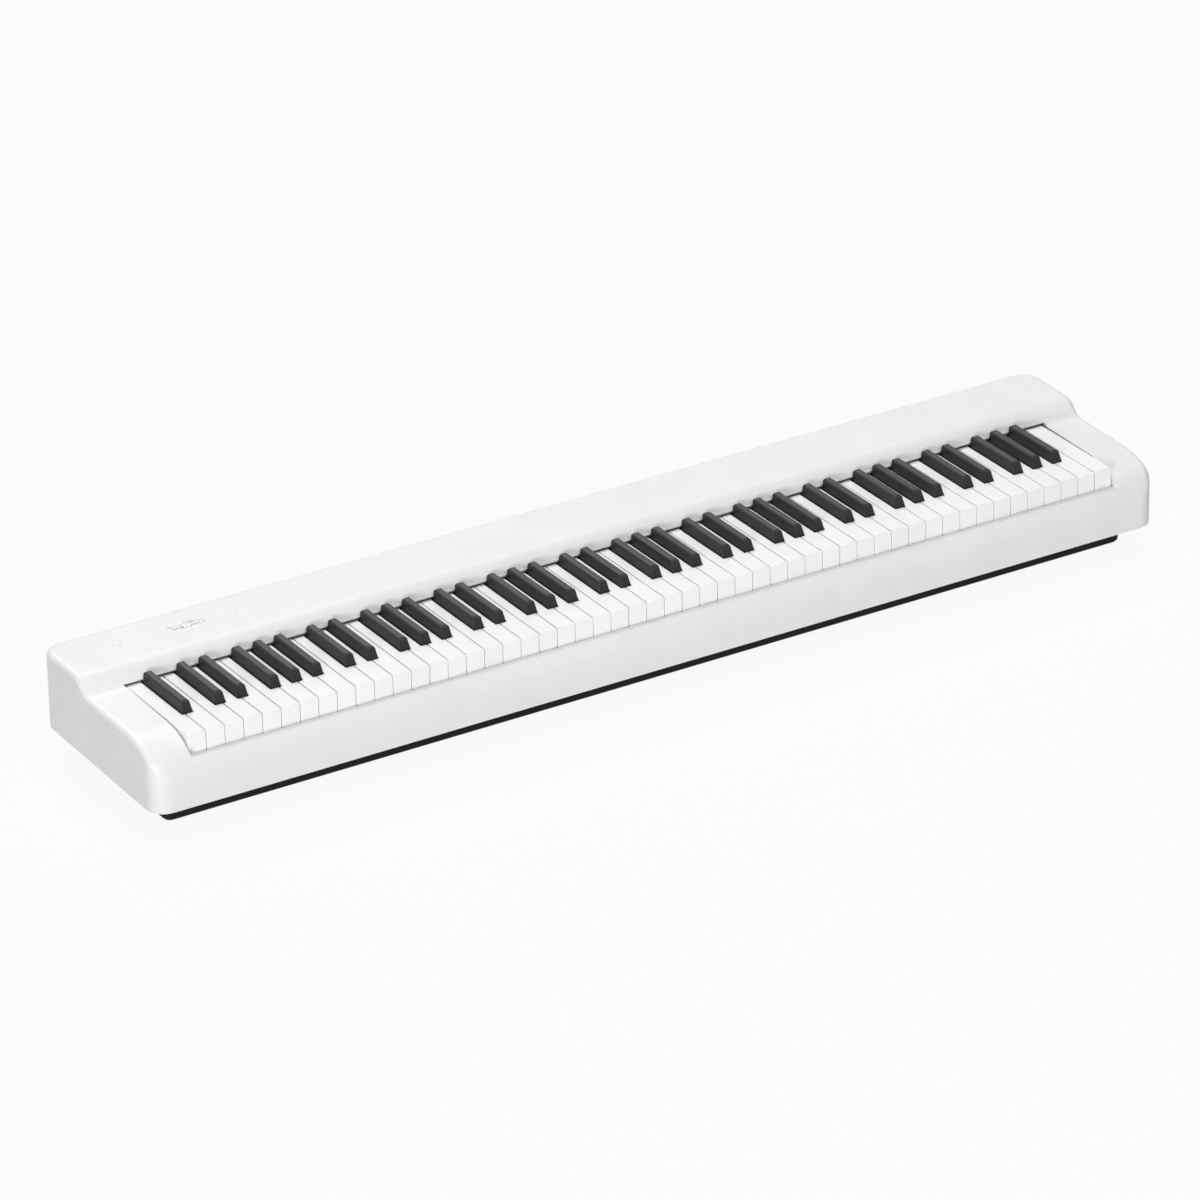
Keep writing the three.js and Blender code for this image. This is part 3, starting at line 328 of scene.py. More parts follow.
@dataclass(frozen=True)
class Finish:
    """A moulded or worked surface.

    Attributes:
        name: the material's name.
        slot: the record's material slot; not used.
        colour: its base colour, linear.
        roughness: its middle roughness.
        metallic: 1 on bare metal.
        grain: the size of its fine grain, in metres.
        relief: how deep the grain is, in metres.
        stretch: how the grain is drawn out along X, Y and Z, below 1 for longer.
        mottle: how much the colour wanders, as a share.
        patch: the size of that wandering, in metres.
        gloss_drift: how much the roughness wanders.
        sheen: the strength of a felt's or cloth's sheen.
        specular: the strength of its gloss, 0.5 on a plain plastic.
    """

    name: str
    slot: str
    colour: Colour
    roughness: float
    metallic: float = 0.0
    grain: float = 0.5 * MM
    relief: float = 0.02 * MM
    stretch: Colour = (1.0, 1.0, 1.0)
    mottle: float = 0.02
    patch: float = 60 * MM
    gloss_drift: float = 0.05
    sheen: float = 0.0
    specular: float = 0.5

    def build(self) -> bpy.types.Material:
        """Makes the material, once.

        Returns:
            The material of this name.
        """
        made = bpy.data.materials.get(self.name)
        if made is not None:
            return made
        made = bpy.data.materials.new(self.name)
        made.use_nodes = True
        sheet = NodeSheet(made.node_tree)
        shader = sheet.tree.nodes["Principled BSDF"]
        shader.inputs["Metallic"].default_value = self.metallic
        shader.inputs["Sheen Weight"].default_value = self.sheen
        shader.inputs["Specular IOR Level"].default_value = self.specular
        self.wire(sheet, shader)
        return made

    def wire(self, sheet: NodeSheet, shader: bpy.types.Node) -> None:
        """Joins the colour, gloss and relief to the shader.

        Args:
            sheet: where the nodes go.
            shader: the material's shader.
        """
        place = sheet.place(self.stretch)
        patches = sheet.noise(sheet.place(), self.patch, PATCH_DETAIL)
        grain = sheet.noise(place, self.grain, GRAIN_DETAIL)
        low = tuple(c * (1 - self.mottle) for c in self.colour)
        high = tuple(min(1, c * (1 + self.mottle)) for c in self.colour)
        sheet.link(sheet.between(patches, low, high), shader.inputs["Base Color"])
        rough = sheet.spread(grain, self.roughness - self.gloss_drift, self.roughness + self.gloss_drift)
        sheet.link(rough, shader.inputs["Roughness"])
        sheet.link(sheet.bump(grain, self.relief), shader.inputs["Normal"])

    def dress(self, piece: bpy.types.Object) -> None:
        """Gives a piece this finish alone.

        Args:
            piece: the piece.
        """
        piece.data.materials.clear()
        piece.data.materials.append(self.build())


class NodeSheet:
    """Short ways to add the nodes that the finishes share."""

    def __init__(self, tree: bpy.types.NodeTree) -> None:
        """Works on one material's nodes."""
        self.tree = tree

    def node(self, kind: str) -> bpy.types.Node:
        """Adds a node of a type."""
        return self.tree.nodes.new(kind)

    def link(self, start: bpy.types.NodeSocket, end: bpy.types.NodeSocket) -> None:
        """Joins an output to an input."""
        self.tree.links.new(start, end)

    def place(self, stretch: Colour = (1.0, 1.0, 1.0)) -> bpy.types.NodeSocket:
        """Gives the place on the piece, in metres, drawn out along its axes.

        Args:
            stretch: what each coordinate is multiplied by.

        Returns:
            A vector output.
        """
        where = self.node("ShaderNodeTexCoord")
        mapping = self.node("ShaderNodeMapping")
        mapping.inputs["Scale"].default_value = stretch
        self.link(where.outputs["Object"], mapping.inputs["Vector"])
        return mapping.outputs["Vector"]

    def noise(self, place: bpy.types.NodeSocket, size: float, detail: float) -> bpy.types.NodeSocket:
        """Gives a noise of a real size.

        Args:
            place: the vector that it reads.
            size: the size of its features, in metres.
            detail: how many finer layers it has.

        Returns:
            A value output, about 0 to 1.
        """
        texture = self.node("ShaderNodeTexNoise")
        texture.inputs["Scale"].default_value = 1 / size
        texture.inputs["Detail"].default_value = detail
        self.link(place, texture.inputs["Vector"])
        return texture.outputs["Fac"]

    def spread(self, value: bpy.types.NodeSocket, low: float, high: float) -> bpy.types.NodeSocket:
        """Maps the middle of a noise's range onto two values.

        Args:
            value: the noise.
            low: what its low end becomes.
            high: what its high end becomes.

        Returns:
            A value output.
        """
        mapped = self.node("ShaderNodeMapRange")
        ends = ("From Min", "From Max", "To Min", "To Max")
        for end, level in zip(ends, (*NOISE_RANGE, low, high)):
            mapped.inputs[end].default_value = level
        self.link(value, mapped.inputs["Value"])
        return mapped.outputs["Result"]

    def between(self, value: bpy.types.NodeSocket, low: Colour, high: Colour) -> bpy.types.NodeSocket:
        """Blends two colours by a noise.

        Args:
            value: the noise.
            low: the colour at its low end.
            high: the colour at its high end.

        Returns:
            A colour output.
        """
        mix = self.node("ShaderNodeMix")
        mix.data_type = "RGBA"
        colour_a = next(s for s in mix.inputs if s.identifier == "A_Color")
        colour_b = next(s for s in mix.inputs if s.identifier == "B_Color")
        colour_a.default_value = (*low, 1)
        colour_b.default_value = (*high, 1)
        self.link(self.spread(value, 0, 1), mix.inputs["Factor"])
        return next(s for s in mix.outputs if s.identifier == "Result_Color")

    def bump(self, height: bpy.types.NodeSocket, depth: float) -> bpy.types.NodeSocket:
        """Gives a normal from a height.

        Args:
            height: the height, 0 to 1.
            depth: its full depth, in metres.

        Returns:
            A normal output.
        """
        bump = self.node("ShaderNodeBump")
        bump.inputs["Strength"].default_value = 1
        bump.inputs["Distance"].default_value = depth
        self.link(height, bump.inputs["Height"])
        return bump.outputs["Normal"]


WHITE_SHELL = Finish(
    "white_shell_plastic", "white_shell", (0.826, 0.826, 0.822), 0.42, grain=0.35 * MM,
    relief=0.004 * MM,
)
CONTROL = Finish(
    "control_plastic", "control_plastic", (0.8, 0.8, 0.796), 0.36, grain=0.3 * MM, relief=0.003 * MM
)
BLACK_BASE = Finish(
    "black_base_plastic", "black_base", (0.008, 0.008, 0.0085), 0.6, grain=0.6 * MM, relief=0.03 * MM,
    specular=0.15,
)
WHITE_KEY = Finish(
    "white_key_plastic", "white_key", (0.93, 0.93, 0.924), 0.36, relief=0.002 * MM, specular=0.3
)
BLACK_KEY = Finish(
    "black_key_plastic", "black_key", (0.016, 0.0155, 0.0155), 0.45, grain=0.4 * MM, relief=0.012 * MM,
    stretch=(1, 0.12, 1), specular=0.28,
)
FELT = Finish(
    "pressed_felt", "dark_felt", (0.045, 0.033, 0.03), 0.95, grain=0.5 * MM, relief=0.25 * MM,
    mottle=0.3, patch=4 * MM, sheen=0.4,
)
STEEL = Finish(
    "drawn_steel", "steel", (0.6, 0.61, 0.62), 0.3, metallic=1, grain=0.3 * MM, relief=0.003 * MM,
    stretch=(0.05, 1, 1),
)
SCREW_STEEL = Finish(
    "zinc_plated_steel", "steel", (0.5, 0.51, 0.53), 0.36, metallic=1, grain=0.2 * MM,
    relief=0.004 * MM, mottle=0.06, patch=2 * MM,
)
CONTACT_GOLD = Finish(
    "gold_plated_contact", "steel", (0.85, 0.62, 0.28), 0.25, metallic=1, grain=0.2 * MM,
    relief=0.002 * MM,
)
FRAME_PLASTIC = Finish("frame_plastic", "frame_plastic", (0.08, 0.08, 0.085), 0.55)
HAMMER_PLASTIC = Finish("hammer_plastic", "hammer_plastic", (0.13, 0.13, 0.14), 0.5)
CIRCUIT_BOARD = Finish(
    "circuit_board", "circuit_board", (0.02, 0.12, 0.05), 0.35, grain=1.2 * MM, mottle=0.35,
    patch=5 * MM,
)
CONTACT_RUBBER = Finish("contact_rubber", "contact_rubber", (0.42, 0.42, 0.42), 0.7, relief=0.01 * MM)
FOOT_RUBBER = Finish(
    "foot_rubber", "foot_rubber", (0.018, 0.018, 0.019), 0.75, relief=0.03 * MM, specular=0.3
)
SPEAKER_CONE = Finish(
    "speaker_cone", "speaker_cone", (0.03, 0.03, 0.032), 0.8, grain=0.8 * MM, relief=0.08 * MM,
    mottle=0.2, patch=6 * MM, specular=0.25,
)
SURROUND_FOAM = Finish(
    "surround_foam", "speaker_cone", (0.02, 0.02, 0.021), 0.9, grain=0.4 * MM, relief=0.06 * MM,
    specular=0.2,
)
SOCKET_PLASTIC = Finish(
    "socket_plastic", "socket_plastic", (0.02, 0.02, 0.022), 0.4, relief=0.01 * MM, specular=0.35
)


@dataclass
class MouldedPiece:
    """A rigid moulding that keeps its node's form, with the fine roundness of the real one.

    Attributes:
        node: the frame node that it stands for.
        body: the body that it rides on.
        finish: its finish.
        rounding: how its edges are rounded.
    """

    node: str
    body: str
    finish: Finish
    rounding: Rounding = Rounding(0.3 * MM, 2, over=25.0)

    def build(self) -> bpy.types.Object:
        """Makes the piece, dresses it and puts it on its body.

        Returns:
            The finished piece.
        """
        piece = moulding(self.node, f"{self.node}_skin")
        self.shape(piece)
        self.rounding.give(piece)
        self.finish.dress(piece)
        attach(piece, self.body)
        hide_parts(self.node)
        log.info("%s stands for %s", piece.name, self.node)
        return piece

    def shape(self, piece: bpy.types.Object) -> None:
        """Leaves the form as it is, where a kind of piece with its own shape changes it."""


@dataclass
class UpperShell(MouldedPiece):
    """The white upper case, whose opening closes on the keys as narrowly as the photograph shows.

    Attributes:
        opening_half: half the opening's width in the solid.
        opening_front: where its front wall lies.
        opening_rear: behind this place its side walls stay where they are.
        side_closing: how much nearer the keys each side wall comes.
        front_closing: how much nearer the front wall comes.
        near: how far from a wall's plane a vertex of it may lie.
        rear_round: the radius of the rear top edge.
        facet: the turn of one facet of that rounding, in degrees.
        skim: how far over the facet the ribs' corners are cut off.
        on_plane: how near the cut a vertex lies that is taken as on it.
        weld: what stays of them under this size is merged into the facet.
    """

    opening_half: float = 613.5 * MM
    opening_front: float = -117.2 * MM
    opening_rear: float = 24 * MM
    side_closing: float = 1.4 * MM
    front_closing: float = 1.0 * MM
    near: float = 0.1 * MM
    rear_round: float = 7 * MM
    facet: float = 30.0
    skim: float = 0.01 * MM
    on_plane: float = 0.001 * MM
    weld: float = 0.03 * MM

    def shape(self, piece: bpy.types.Object) -> None:
        """Moves the opening's walls nearer to the keys, and cleans the rear top edge.

        Args:
            piece: the shell.
        """
        self.skim_rear_edge(piece)
        for side in Side:
            wall = side.value * self.opening_half

            def on_wall(at: Vector, _normal: Vector) -> bool:
                """Chooses the vertices of one side wall."""
                return abs(at.x - wall) < self.near and at.y < self.opening_rear

            with editing(piece, Element.VERTEX, on_wall):
                bpy.ops.transform.translate(value=(-side.value * self.side_closing, 0, 0))
        with editing(piece, Element.VERTEX, lambda at, _n: abs(at.y - self.opening_front) < self.near):
            bpy.ops.transform.translate(value=(0, self.front_closing, 0))

    def skim_rear_edge(self, piece: bpy.types.Object) -> None:
        """Cuts off the deck ribs' corners, which come through the rounded rear edge in the solid.

        Args:
            piece: the shell.
        """
        high = Vector(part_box(self.node)[1])
        way = Vector((0, 1, 1)).normalized()
        centre = high - Vector((high.x, self.rear_round, self.rear_round))
        facet_distance = self.rear_round * math.cos(math.radians(self.facet / 2))
        on_facet = centre + way * (facet_distance + self.skim)
        with editing(piece, Element.FACE, everything):
            bpy.ops.mesh.bisect(
                plane_co=on_facet,
                plane_no=way,
                use_fill=True,
                clear_outer=True,
                threshold=self.on_plane,
            )
            bpy.ops.mesh.select_all(action="SELECT")
            bpy.ops.mesh.remove_doubles(threshold=self.weld)
            bpy.ops.mesh.dissolve_limited(angle_limit=FLAT)


@dataclass
class BlackKeys(MouldedPiece):
    """A black key, or a run of them, with caps as full as the photograph shows.

    Attributes:
        top_from: vertices above this height belong to the caps' tops.
        swell: how much further out each side of a top lies than in the solid.
        lift: how much higher the tops are.
        lean: how far to one side a vertex's normal points on that side of a top.
    """

    top_from: float = 118 * MM
    swell: float = 0.4 * MM
    lift: float = 0.8 * MM
    lean: float = 0.15

    def shape(self, piece: bpy.types.Object) -> None:
        """Widens and raises the caps' tops.

        Args:
            piece: the key or the run.
        """
        for side in Side:

            def on_side(at: Vector, normal: Vector) -> bool:
                """Chooses the vertices along one side of the tops."""
                return at.z > self.top_from and normal.x * side.value > self.lean

            with editing(piece, Element.VERTEX, on_side):
                bpy.ops.transform.translate(value=(side.value * self.swell, 0, 0))
        with editing(piece, Element.VERTEX, lambda at, _n: at.z > self.top_from):
            bpy.ops.transform.translate(value=(0, 0, self.lift))


def fitted(piece: bpy.types.Object, finish: Finish, body: str = "case") -> None:
    """Finishes a small piece that the frame has no node for.

    Args:
        piece: the piece.
        finish: its finish.
        body: the body that it rides on.
    """
    finish.dress(piece)
    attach(piece, body)
    log.info("%s is added to %s", piece.name, body)


@dataclass
class CaseScrews:
    """The pan-head screws under the case, which hold the tray's flange and the key frame.

    Attributes:
        head_radius: a head's radius.
        head_height: how far it stands out.
        dome: how far its edge is rounded.
        recess_length: how long the cross recess is.
        recess_width: how wide its arms are.
        recess_depth: how deep it is.
        sides: how many sides the head has.
        dome_segments: how many facets its edge's rounding has.
        smooth: edges that turn less than this many degrees are shaded smooth.
        flange_from_floor: how high the flange's underside lies over the tray's.
        rear_inset: how far the rear row lies from the case's rear.
        rear_pitch: the step of the rear row.
        rear_steps: how many steps it reaches to either side of its middle.
        cheek_inset: how far the cheek screws lie from the case's end.
        cheek_rows: how far behind the case's front they lie.
        frame_pitch: the step of the screws that hold the key frame.
        frame_rows: how far behind the case's front these lie.
        frame_steps: how many steps they reach to either side.
    """

    head_radius: float = 3.3 * MM
    head_height: float = 2.0 * MM
    dome: float = 0.9 * MM
    recess_length: float = 3.6 * MM
    recess_width: float = 0.8 * MM
    recess_depth: float = 1.1 * MM
    sides: int = 28
    dome_segments: int = 4
    smooth: float = 35.0
    flange_from_floor: float = 30 * MM
    rear_inset: float = 13 * MM
    rear_pitch: float = 300 * MM
    rear_steps: int = 2
    cheek_inset: float = 23 * MM
    cheek_rows: tuple[float, ...] = (62 * MM, 154 * MM)
    frame_pitch: float = 200 * MM
    frame_rows: tuple[float, ...] = (44.5 * MM, 230 * MM)
    frame_steps: int = 2

    def build(self) -> None:
        """Models one screw and puts a copy at every place."""
        screw = self.make_screw()
        for number, place in enumerate(self.places(), start=1):
            fitted(copied(screw, f"case_screw_{number:02d}", place), SCREW_STEEL)
        bpy.data.objects.remove(screw)

    def places(self) -> list[Vector]:
        """Works out where the screws' seats lie.

        Returns:
            The middle of each seat.
        """
        case_low, case_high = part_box("upper_case")
        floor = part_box("lower_case")[0][2]
        flange = floor + self.flange_from_floor
        found = []
        for side in Side:
            for step in range(1, self.rear_steps + 1):
                x = side.value * step * self.rear_pitch
                found.append(Vector((x, case_high[1] - self.rear_inset, flange)))
            for row in self.cheek_rows:
                x = side.value * (case_high[0] - self.cheek_inset)
                found.append(Vector((x, case_low[1] + row, flange)))
        for row in self.frame_rows:
            for step in range(-self.frame_steps, self.frame_steps + 1):
                found.append(Vector((step * self.frame_pitch, case_low[1] + row, floor)))
        return found

    def make_screw(self) -> bpy.types.Object:
        """Models a head that hangs under a seat at the origin, with its cross recess.

        Returns:
            The screw's head.
        """
        height = self.head_height
        head = disc("case_screw", self.head_radius, height, Vector((0, 0, -height / 2)), self.sides)
        lowest = -height + self.dome / 2
        with editing(head, Element.EDGE, lambda middle, _way: middle.z < lowest):
            bpy.ops.mesh.bevel(offset=self.dome, segments=self.dome_segments, affect="EDGES")
        arms = []
        for name, length, width in (
            ("recess_x", self.recess_length, self.recess_width),
            ("recess_y", self.recess_width, self.recess_length),
        ):
            low = Vector((-length / 2, -width / 2, -2 * height))
            high = Vector((length / 2, width / 2, self.recess_depth - height))
            arms.append(block(name, low, high))
        cut_by(head, arms[0])
        cut_by(head, arms[1])
        smoothed(head, self.smooth)
        return head


@dataclass
class Case:
    """The white upper case, the black base tray, the felt strip, the feet and the screws.

    Attributes:
        shell_rounding: how the upper case's edges are rounded.
        tray_rounding: how the tray's are.
        felt_rounding: how the felt strip's are.
        feet: the four feet's nodes.
    """

    shell_rounding: Rounding = Rounding(0.6 * MM, 2, over=35.0, smooth=45.0)
    tray_rounding: Rounding = Rounding(0.5 * MM, 2, over=35.0, smooth=45.0)
    felt_rounding: Rounding = Rounding(0.5 * MM, over=25.0)
    feet: tuple[str, ...] = ("foot_front_left", "foot_front_right", "foot_rear_left", "foot_rear_right")

    def build(self) -> None:
        """Makes the case's pieces."""
        UpperShell("upper_case", "case", WHITE_SHELL, self.shell_rounding).build()
        MouldedPiece("lower_case", "case", BLACK_BASE, self.tray_rounding).build()
        MouldedPiece("key_felt", "case", FELT, self.felt_rounding).build()
        for node in self.feet:
            MouldedPiece(node, "case", FOOT_RUBBER).build()
        CaseScrews().build()


@dataclass
class KeyAction:
    """Everything that moves under the deck, and the parts that carry it.

    Attributes:
        plain: the nodes whose own form is the finished one, with their finishes.
    """

    plain: tuple[tuple[str, Finish], ...] = (
        ("key_frame", FRAME_PLASTIC),
        ("key_pivot_rod", STEEL),
        ("hammer_pivot_rod", STEEL),
        ("front_stop_felt", FELT),
        ("hammer_rest_felt", FELT),
        ("contact_board", CIRCUIT_BOARD),
        ("contact_rubber", CONTACT_RUBBER),
        ("main_board", CIRCUIT_BOARD),
    )

    def build(self) -> None:
        """Dresses the nodes that stay as they are."""
        for node, finish in self.plain:
            finish.dress(frame["nodes"][node])
            log.info("%s is dressed in %s", node, finish.name)
        for node, piece in frame["nodes"].items():
            if node.startswith(("hammer_", "hammers_")) and node not in dict(self.plain):
                HAMMER_PLASTIC.dress(piece)
                log.info("%s is dressed in %s", node, HAMMER_PLASTIC.name)


@dataclass
class Keyboard:
    """The white and black keys, each with softened edges.

    Attributes:
        white_rounding: how a white key's edges are rounded.
        black_rounding: how a black key's edges are rounded.
    """

    white_rounding: Rounding = Rounding(0.45 * MM, 2, over=25.0, smooth=50.0)
    black_rounding: Rounding = Rounding(1.3 * MM, over=25.0, smooth=50.0)

    def build(self) -> None:
        """Makes every key and run of keys."""
        for body, members in frame["record"]["behaviour"]["bodies"].items():
            for node in members:
                if body != "case" and node.startswith(("key_", "white_keys_", "black_keys_")):
                    self.make_key(node, body)

    def make_key(self, node: str, body: str) -> None:
        """Makes one key, or one run of them.

        Args:
            node: its frame node.
            body: the body that it rides on.
        """
        if node.startswith("black_keys_") or node.endswith("_sharp"):
            BlackKeys(node, body, BLACK_KEY, self.black_rounding).build()
        else:
            MouldedPiece(node, body, WHITE_KEY, self.white_rounding).build()


@dataclass
class Speakers:
    """The two oval speakers over the slots in the tray's floor.

    Attributes:
        rim: how far the surround's middle lies inside the basket's edge.
        roll: the surround's half width.
        roll_steps: how many facets go round the roll.
        roll_flatness: how much of its height the roll keeps on the cone's side, as a share.
        ends: how many facets go round the surround.
        cap_radius: the dust cap's radius.
        cap_height: how far it bulges.
        cap_depth: how far over the basket's foot its edge lies.
        cap_sides: how many facets go round the cap.
        cap_rings: how many go from pole to pole.
        near: how far from the middle a vertex may lie and still belong to neither half.
        smooth: edges that turn less than this many degrees are shaded smooth.
    """

    rim: float = 8 * MM
    roll: float = 3 * MM
    roll_steps: int = 10
    roll_flatness: float = 0.2
    ends: int = 40
    cap_radius: float = 8 * MM
    cap_height: float = 4 * MM
    cap_depth: float = 9 * MM
    cap_sides: int = 28
    cap_rings: int = 14
    near: float = 0.01 * MM
    smooth: float = 60.0

    def build(self) -> None:
        """Makes both speakers."""
        for side in Side:
            node = "speaker_left" if side is Side.BASS else "speaker_right"
            MouldedPiece(node, "case", SPEAKER_CONE).build()
            low, high = (Vector(c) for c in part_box(node))
            self.make_surround(node, low, high)
            self.make_cap(node, low, high)

    def make_surround(self, node: str, low: Vector, high: Vector) -> None:
        """Makes the foam roll round the cone, as a ring drawn out to the basket's oval.

        Args:
            node: the speaker's node.
            low: its lowest corner.
            high: its highest corner.
        """
        middle = (low + high) / 2
        radius = (high.y - low.y) / 2 - self.rim
        stretch = (high.x - low.x) / 2 - (high.y - low.y) / 2
        deselect()
        bpy.ops.mesh.primitive_torus_add(
            location=(middle.x, middle.y, low.z + self.roll),
            major_segments=self.ends,
            minor_segments=self.roll_steps,
            major_radius=radius,
            minor_radius=self.roll,
        )
        surround = settled(f"{node}_surround")
        for side in Side:

            def in_half(at: Vector, _normal: Vector) -> bool:
                """Chooses the vertices of one half of the ring."""
                return (at.x - middle.x) * side.value > self.near

            with editing(surround, Element.VERTEX, in_half):
                bpy.ops.transform.translate(value=(side.value * stretch, 0, 0))
        flat = low.z + self.roll
        with editing(surround, Element.VERTEX, lambda at, _n: at.z > flat):
            squash = (1, 1, self.roll_flatness)
            bpy.ops.transform.resize(value=squash, center_override=(middle.x, middle.y, flat))
        smoothed(surround, self.smooth)
        fitted(surround, SURROUND_FOAM)

    def make_cap(self, node: str, low: Vector, high: Vector) -> None:
        """Makes the dust cap in the cone's middle.

        Args:
            node: the speaker's node.
            low: its lowest corner.
            high: its highest corner.
        """
        middle = (low + high) / 2
        foot = low.z + self.cap_depth
        deselect()
        bpy.ops.mesh.primitive_uv_sphere_add(
            segments=self.cap_sides,
            ring_count=self.cap_rings,
            radius=self.cap_radius,
            location=(middle.x, middle.y, foot),
        )
        cap = settled(f"{node}_dust_cap")
        squash = self.cap_height / self.cap_radius
        with editing(cap, Element.VERTEX, everything):
            bpy.ops.transform.resize(value=(1, 1, squash), center_override=(middle.x, middle.y, foot))
        smoothed(cap, self.smooth)
        fitted(cap, SURROUND_FOAM)


@dataclass
class Sockets:
    """The DC inlet, the USB socket and the two jacks at the rear.

    Attributes:
        body_rounding: how the plastic bodies' edges are rounded.
        shell_rounding: how the steel shell's edges are rounded.
        ring_radius: the jack rings' outer radius.
        ring_wall: their wall.
        ring_depth: how deep they are.
        ring_proud: how far they stand out of the nose.
        ring_sides: how many sides they have.
        ring_rounding: how their edges are rounded.
        leaf_width: the width of the leaf that presses on the plug.
        leaf_length: its length.
        leaf_thickness: its thickness.
        leaf_rise: how far its middle stands into the bore.
        leaf_cuts: how many cuts across let it bend.
        leaf_shares: how far from its middle each step of its bend reaches, as shares of its length.
        leaf_rounding: how its edges are rounded.
        bore: the jacks' bore radius.
        pin_radius: the radius of the DC inlet's pin sleeve.
        pin_length: its length.
        pin_sides: how many sides it has.
        pin_rounding: how its edges are rounded.
        recess: how far the pin and the tongue end behind the face.
        frame_wall: the wall of the USB socket's insulator.
        frame_depth: how deep it is.
        frame_proud: how far it stands out of the shell.
        frame_rounding: how its edges are rounded.
        shell_wall: the wall of the steel shell round it.
        tongue_half: the USB tongue's half width, length and half height.
        tongue_rounding: how its edges are rounded.
        contact: a USB contact's width, length and thickness.
        contact_shift: how far the contacts lie from the tongue's middle.
        contact_setback: how far they end behind the tongue's tip.
        contact_rounding: how their edges are rounded.
    """

    body_rounding: Rounding = Rounding(0.2 * MM, 2, over=25.0)
    shell_rounding: Rounding = Rounding(0.15 * MM, 2, over=25.0)
    ring_radius: float = 4.7 * MM
    ring_wall: float = 1.35 * MM
    ring_depth: float = 1.0 * MM
    ring_proud: float = 0.3 * MM
    ring_sides: int = 40
    ring_rounding: Rounding = Rounding(0.2 * MM)
    leaf_width: float = 1.8 * MM
    leaf_length: float = 9 * MM
    leaf_thickness: float = 0.25 * MM
    leaf_rise: float = 0.7 * MM
    leaf_cuts: int = 7
    leaf_shares: tuple[float, ...] = (0.3, 0.16, 0.05)
    leaf_rounding: Rounding = Rounding(0.06 * MM, 2)
    bore: float = 3.3 * MM
    pin_radius: float = 1.06 * MM
    pin_length: float = 7 * MM
    pin_sides: int = 24
    pin_rounding: Rounding = Rounding(0.35 * MM, 4)
    recess: float = 1.9 * MM
    frame_wall: float = 1.05 * MM
    frame_depth: float = 1.5 * MM
    frame_proud: float = 0.05 * MM
    frame_rounding: Rounding = Rounding(0.12 * MM, 2)
    shell_wall: float = 0.6 * MM
    tongue_half: tuple[float, float, float] = (2.86 * MM, 8 * MM, 1.66 * MM)
    tongue_rounding: Rounding = Rounding(0.3 * MM)
    contact: tuple[float, float, float] = (1.1 * MM, 6 * MM, 0.12 * MM)
    contact_shift: float = 1.25 * MM
    contact_setback: float = 0.4 * MM
    contact_rounding: Rounding = Rounding(0.08 * MM)

    def build(self) -> None:
        """Makes the four sockets and what shows in them."""
        for node in ("dc_inlet", "pedal_jack", "phones_jack"):
            MouldedPiece(node, "case", SOCKET_PLASTIC, self.body_rounding).build()
        MouldedPiece("usb_socket", "case", STEEL, self.shell_rounding).build()
        for node in ("pedal_jack", "phones_jack"):
            self.make_ring(node)
            self.make_leaf(node)
        self.make_pin()
        self.make_usb_insulator()
        self.make_usb_contacts()

    def face_middle(self, node: str) -> Vector:
        """Gives the middle of a socket's rear face."""
        low, high = (Vector(c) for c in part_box(node))
        return Vector(((low.x + high.x) / 2, high.y, (low.z + high.z) / 2))

    def pierced(self, piece: bpy.types.Object, wall: float) -> None:
        """Opens a piece from front to rear.

        Args:
            piece: the piece.
            wall: the wall that stays round the opening.
        """
        with editing(piece, Element.FACE, lambda _middle, normal: abs(normal.y) > ALONG):
            bpy.ops.mesh.inset(thickness=wall)
            bpy.ops.mesh.bridge_edge_loops()
            bpy.ops.mesh.select_all(action="SELECT")
            bpy.ops.mesh.normals_make_consistent(inside=False)

    def make_ring(self, node: str) -> None:
        """Makes the steel ring at a jack's mouth.

        Args:
            node: the jack's node.
        """
        face = self.face_middle(node)
        middle = face + Vector((0, self.ring_proud - self.ring_depth / 2, 0))
        sides, turn = self.ring_sides, Turn.ALONG_Y
        ring = disc(f"{node}_ring", self.ring_radius, self.ring_depth, middle, sides, turn)
        self.pierced(ring, self.ring_wall)
        self.ring_rounding.give(ring)
        fitted(ring, STEEL)

    def make_leaf(self, node: str) -> None:
        """Makes the sprung leaf at the top of a jack's bore.

        Args:
            node: the jack's node.
        """
        face = self.face_middle(node)
        high = face + Vector((self.leaf_width / 2, -self.recess, self.bore))
        low = high - Vector((self.leaf_width, self.leaf_length, self.leaf_thickness))
        leaf = block(f"{node}_leaf", low, high)
        with editing(leaf, Element.EDGE, lambda _middle, way: abs(way.y) > ALONG):
            bpy.ops.mesh.subdivide(number_cuts=self.leaf_cuts)
        crest = (low.y + high.y) / 2
        drop = self.leaf_rise / len(self.leaf_shares)
        for share in self.leaf_shares:
            reach = self.leaf_length * share
            with editing(leaf, Element.VERTEX, lambda at, _n: abs(at.y - crest) < reach):
                bpy.ops.transform.translate(value=(0, 0, -drop))
        self.leaf_rounding.give(leaf)
        fitted(leaf, STEEL)

    def make_pin(self) -> None:
        """Makes the steel sleeve on the DC inlet's pin."""
        face = self.face_middle("dc_inlet")
        middle = face - Vector((0, self.recess + self.pin_length / 2, 0))
        sides, turn = self.pin_sides, Turn.ALONG_Y
        pin = disc("dc_inlet_pin", self.pin_radius, self.pin_length, middle, sides, turn)
        self.pin_rounding.give(pin)
        fitted(pin, STEEL)

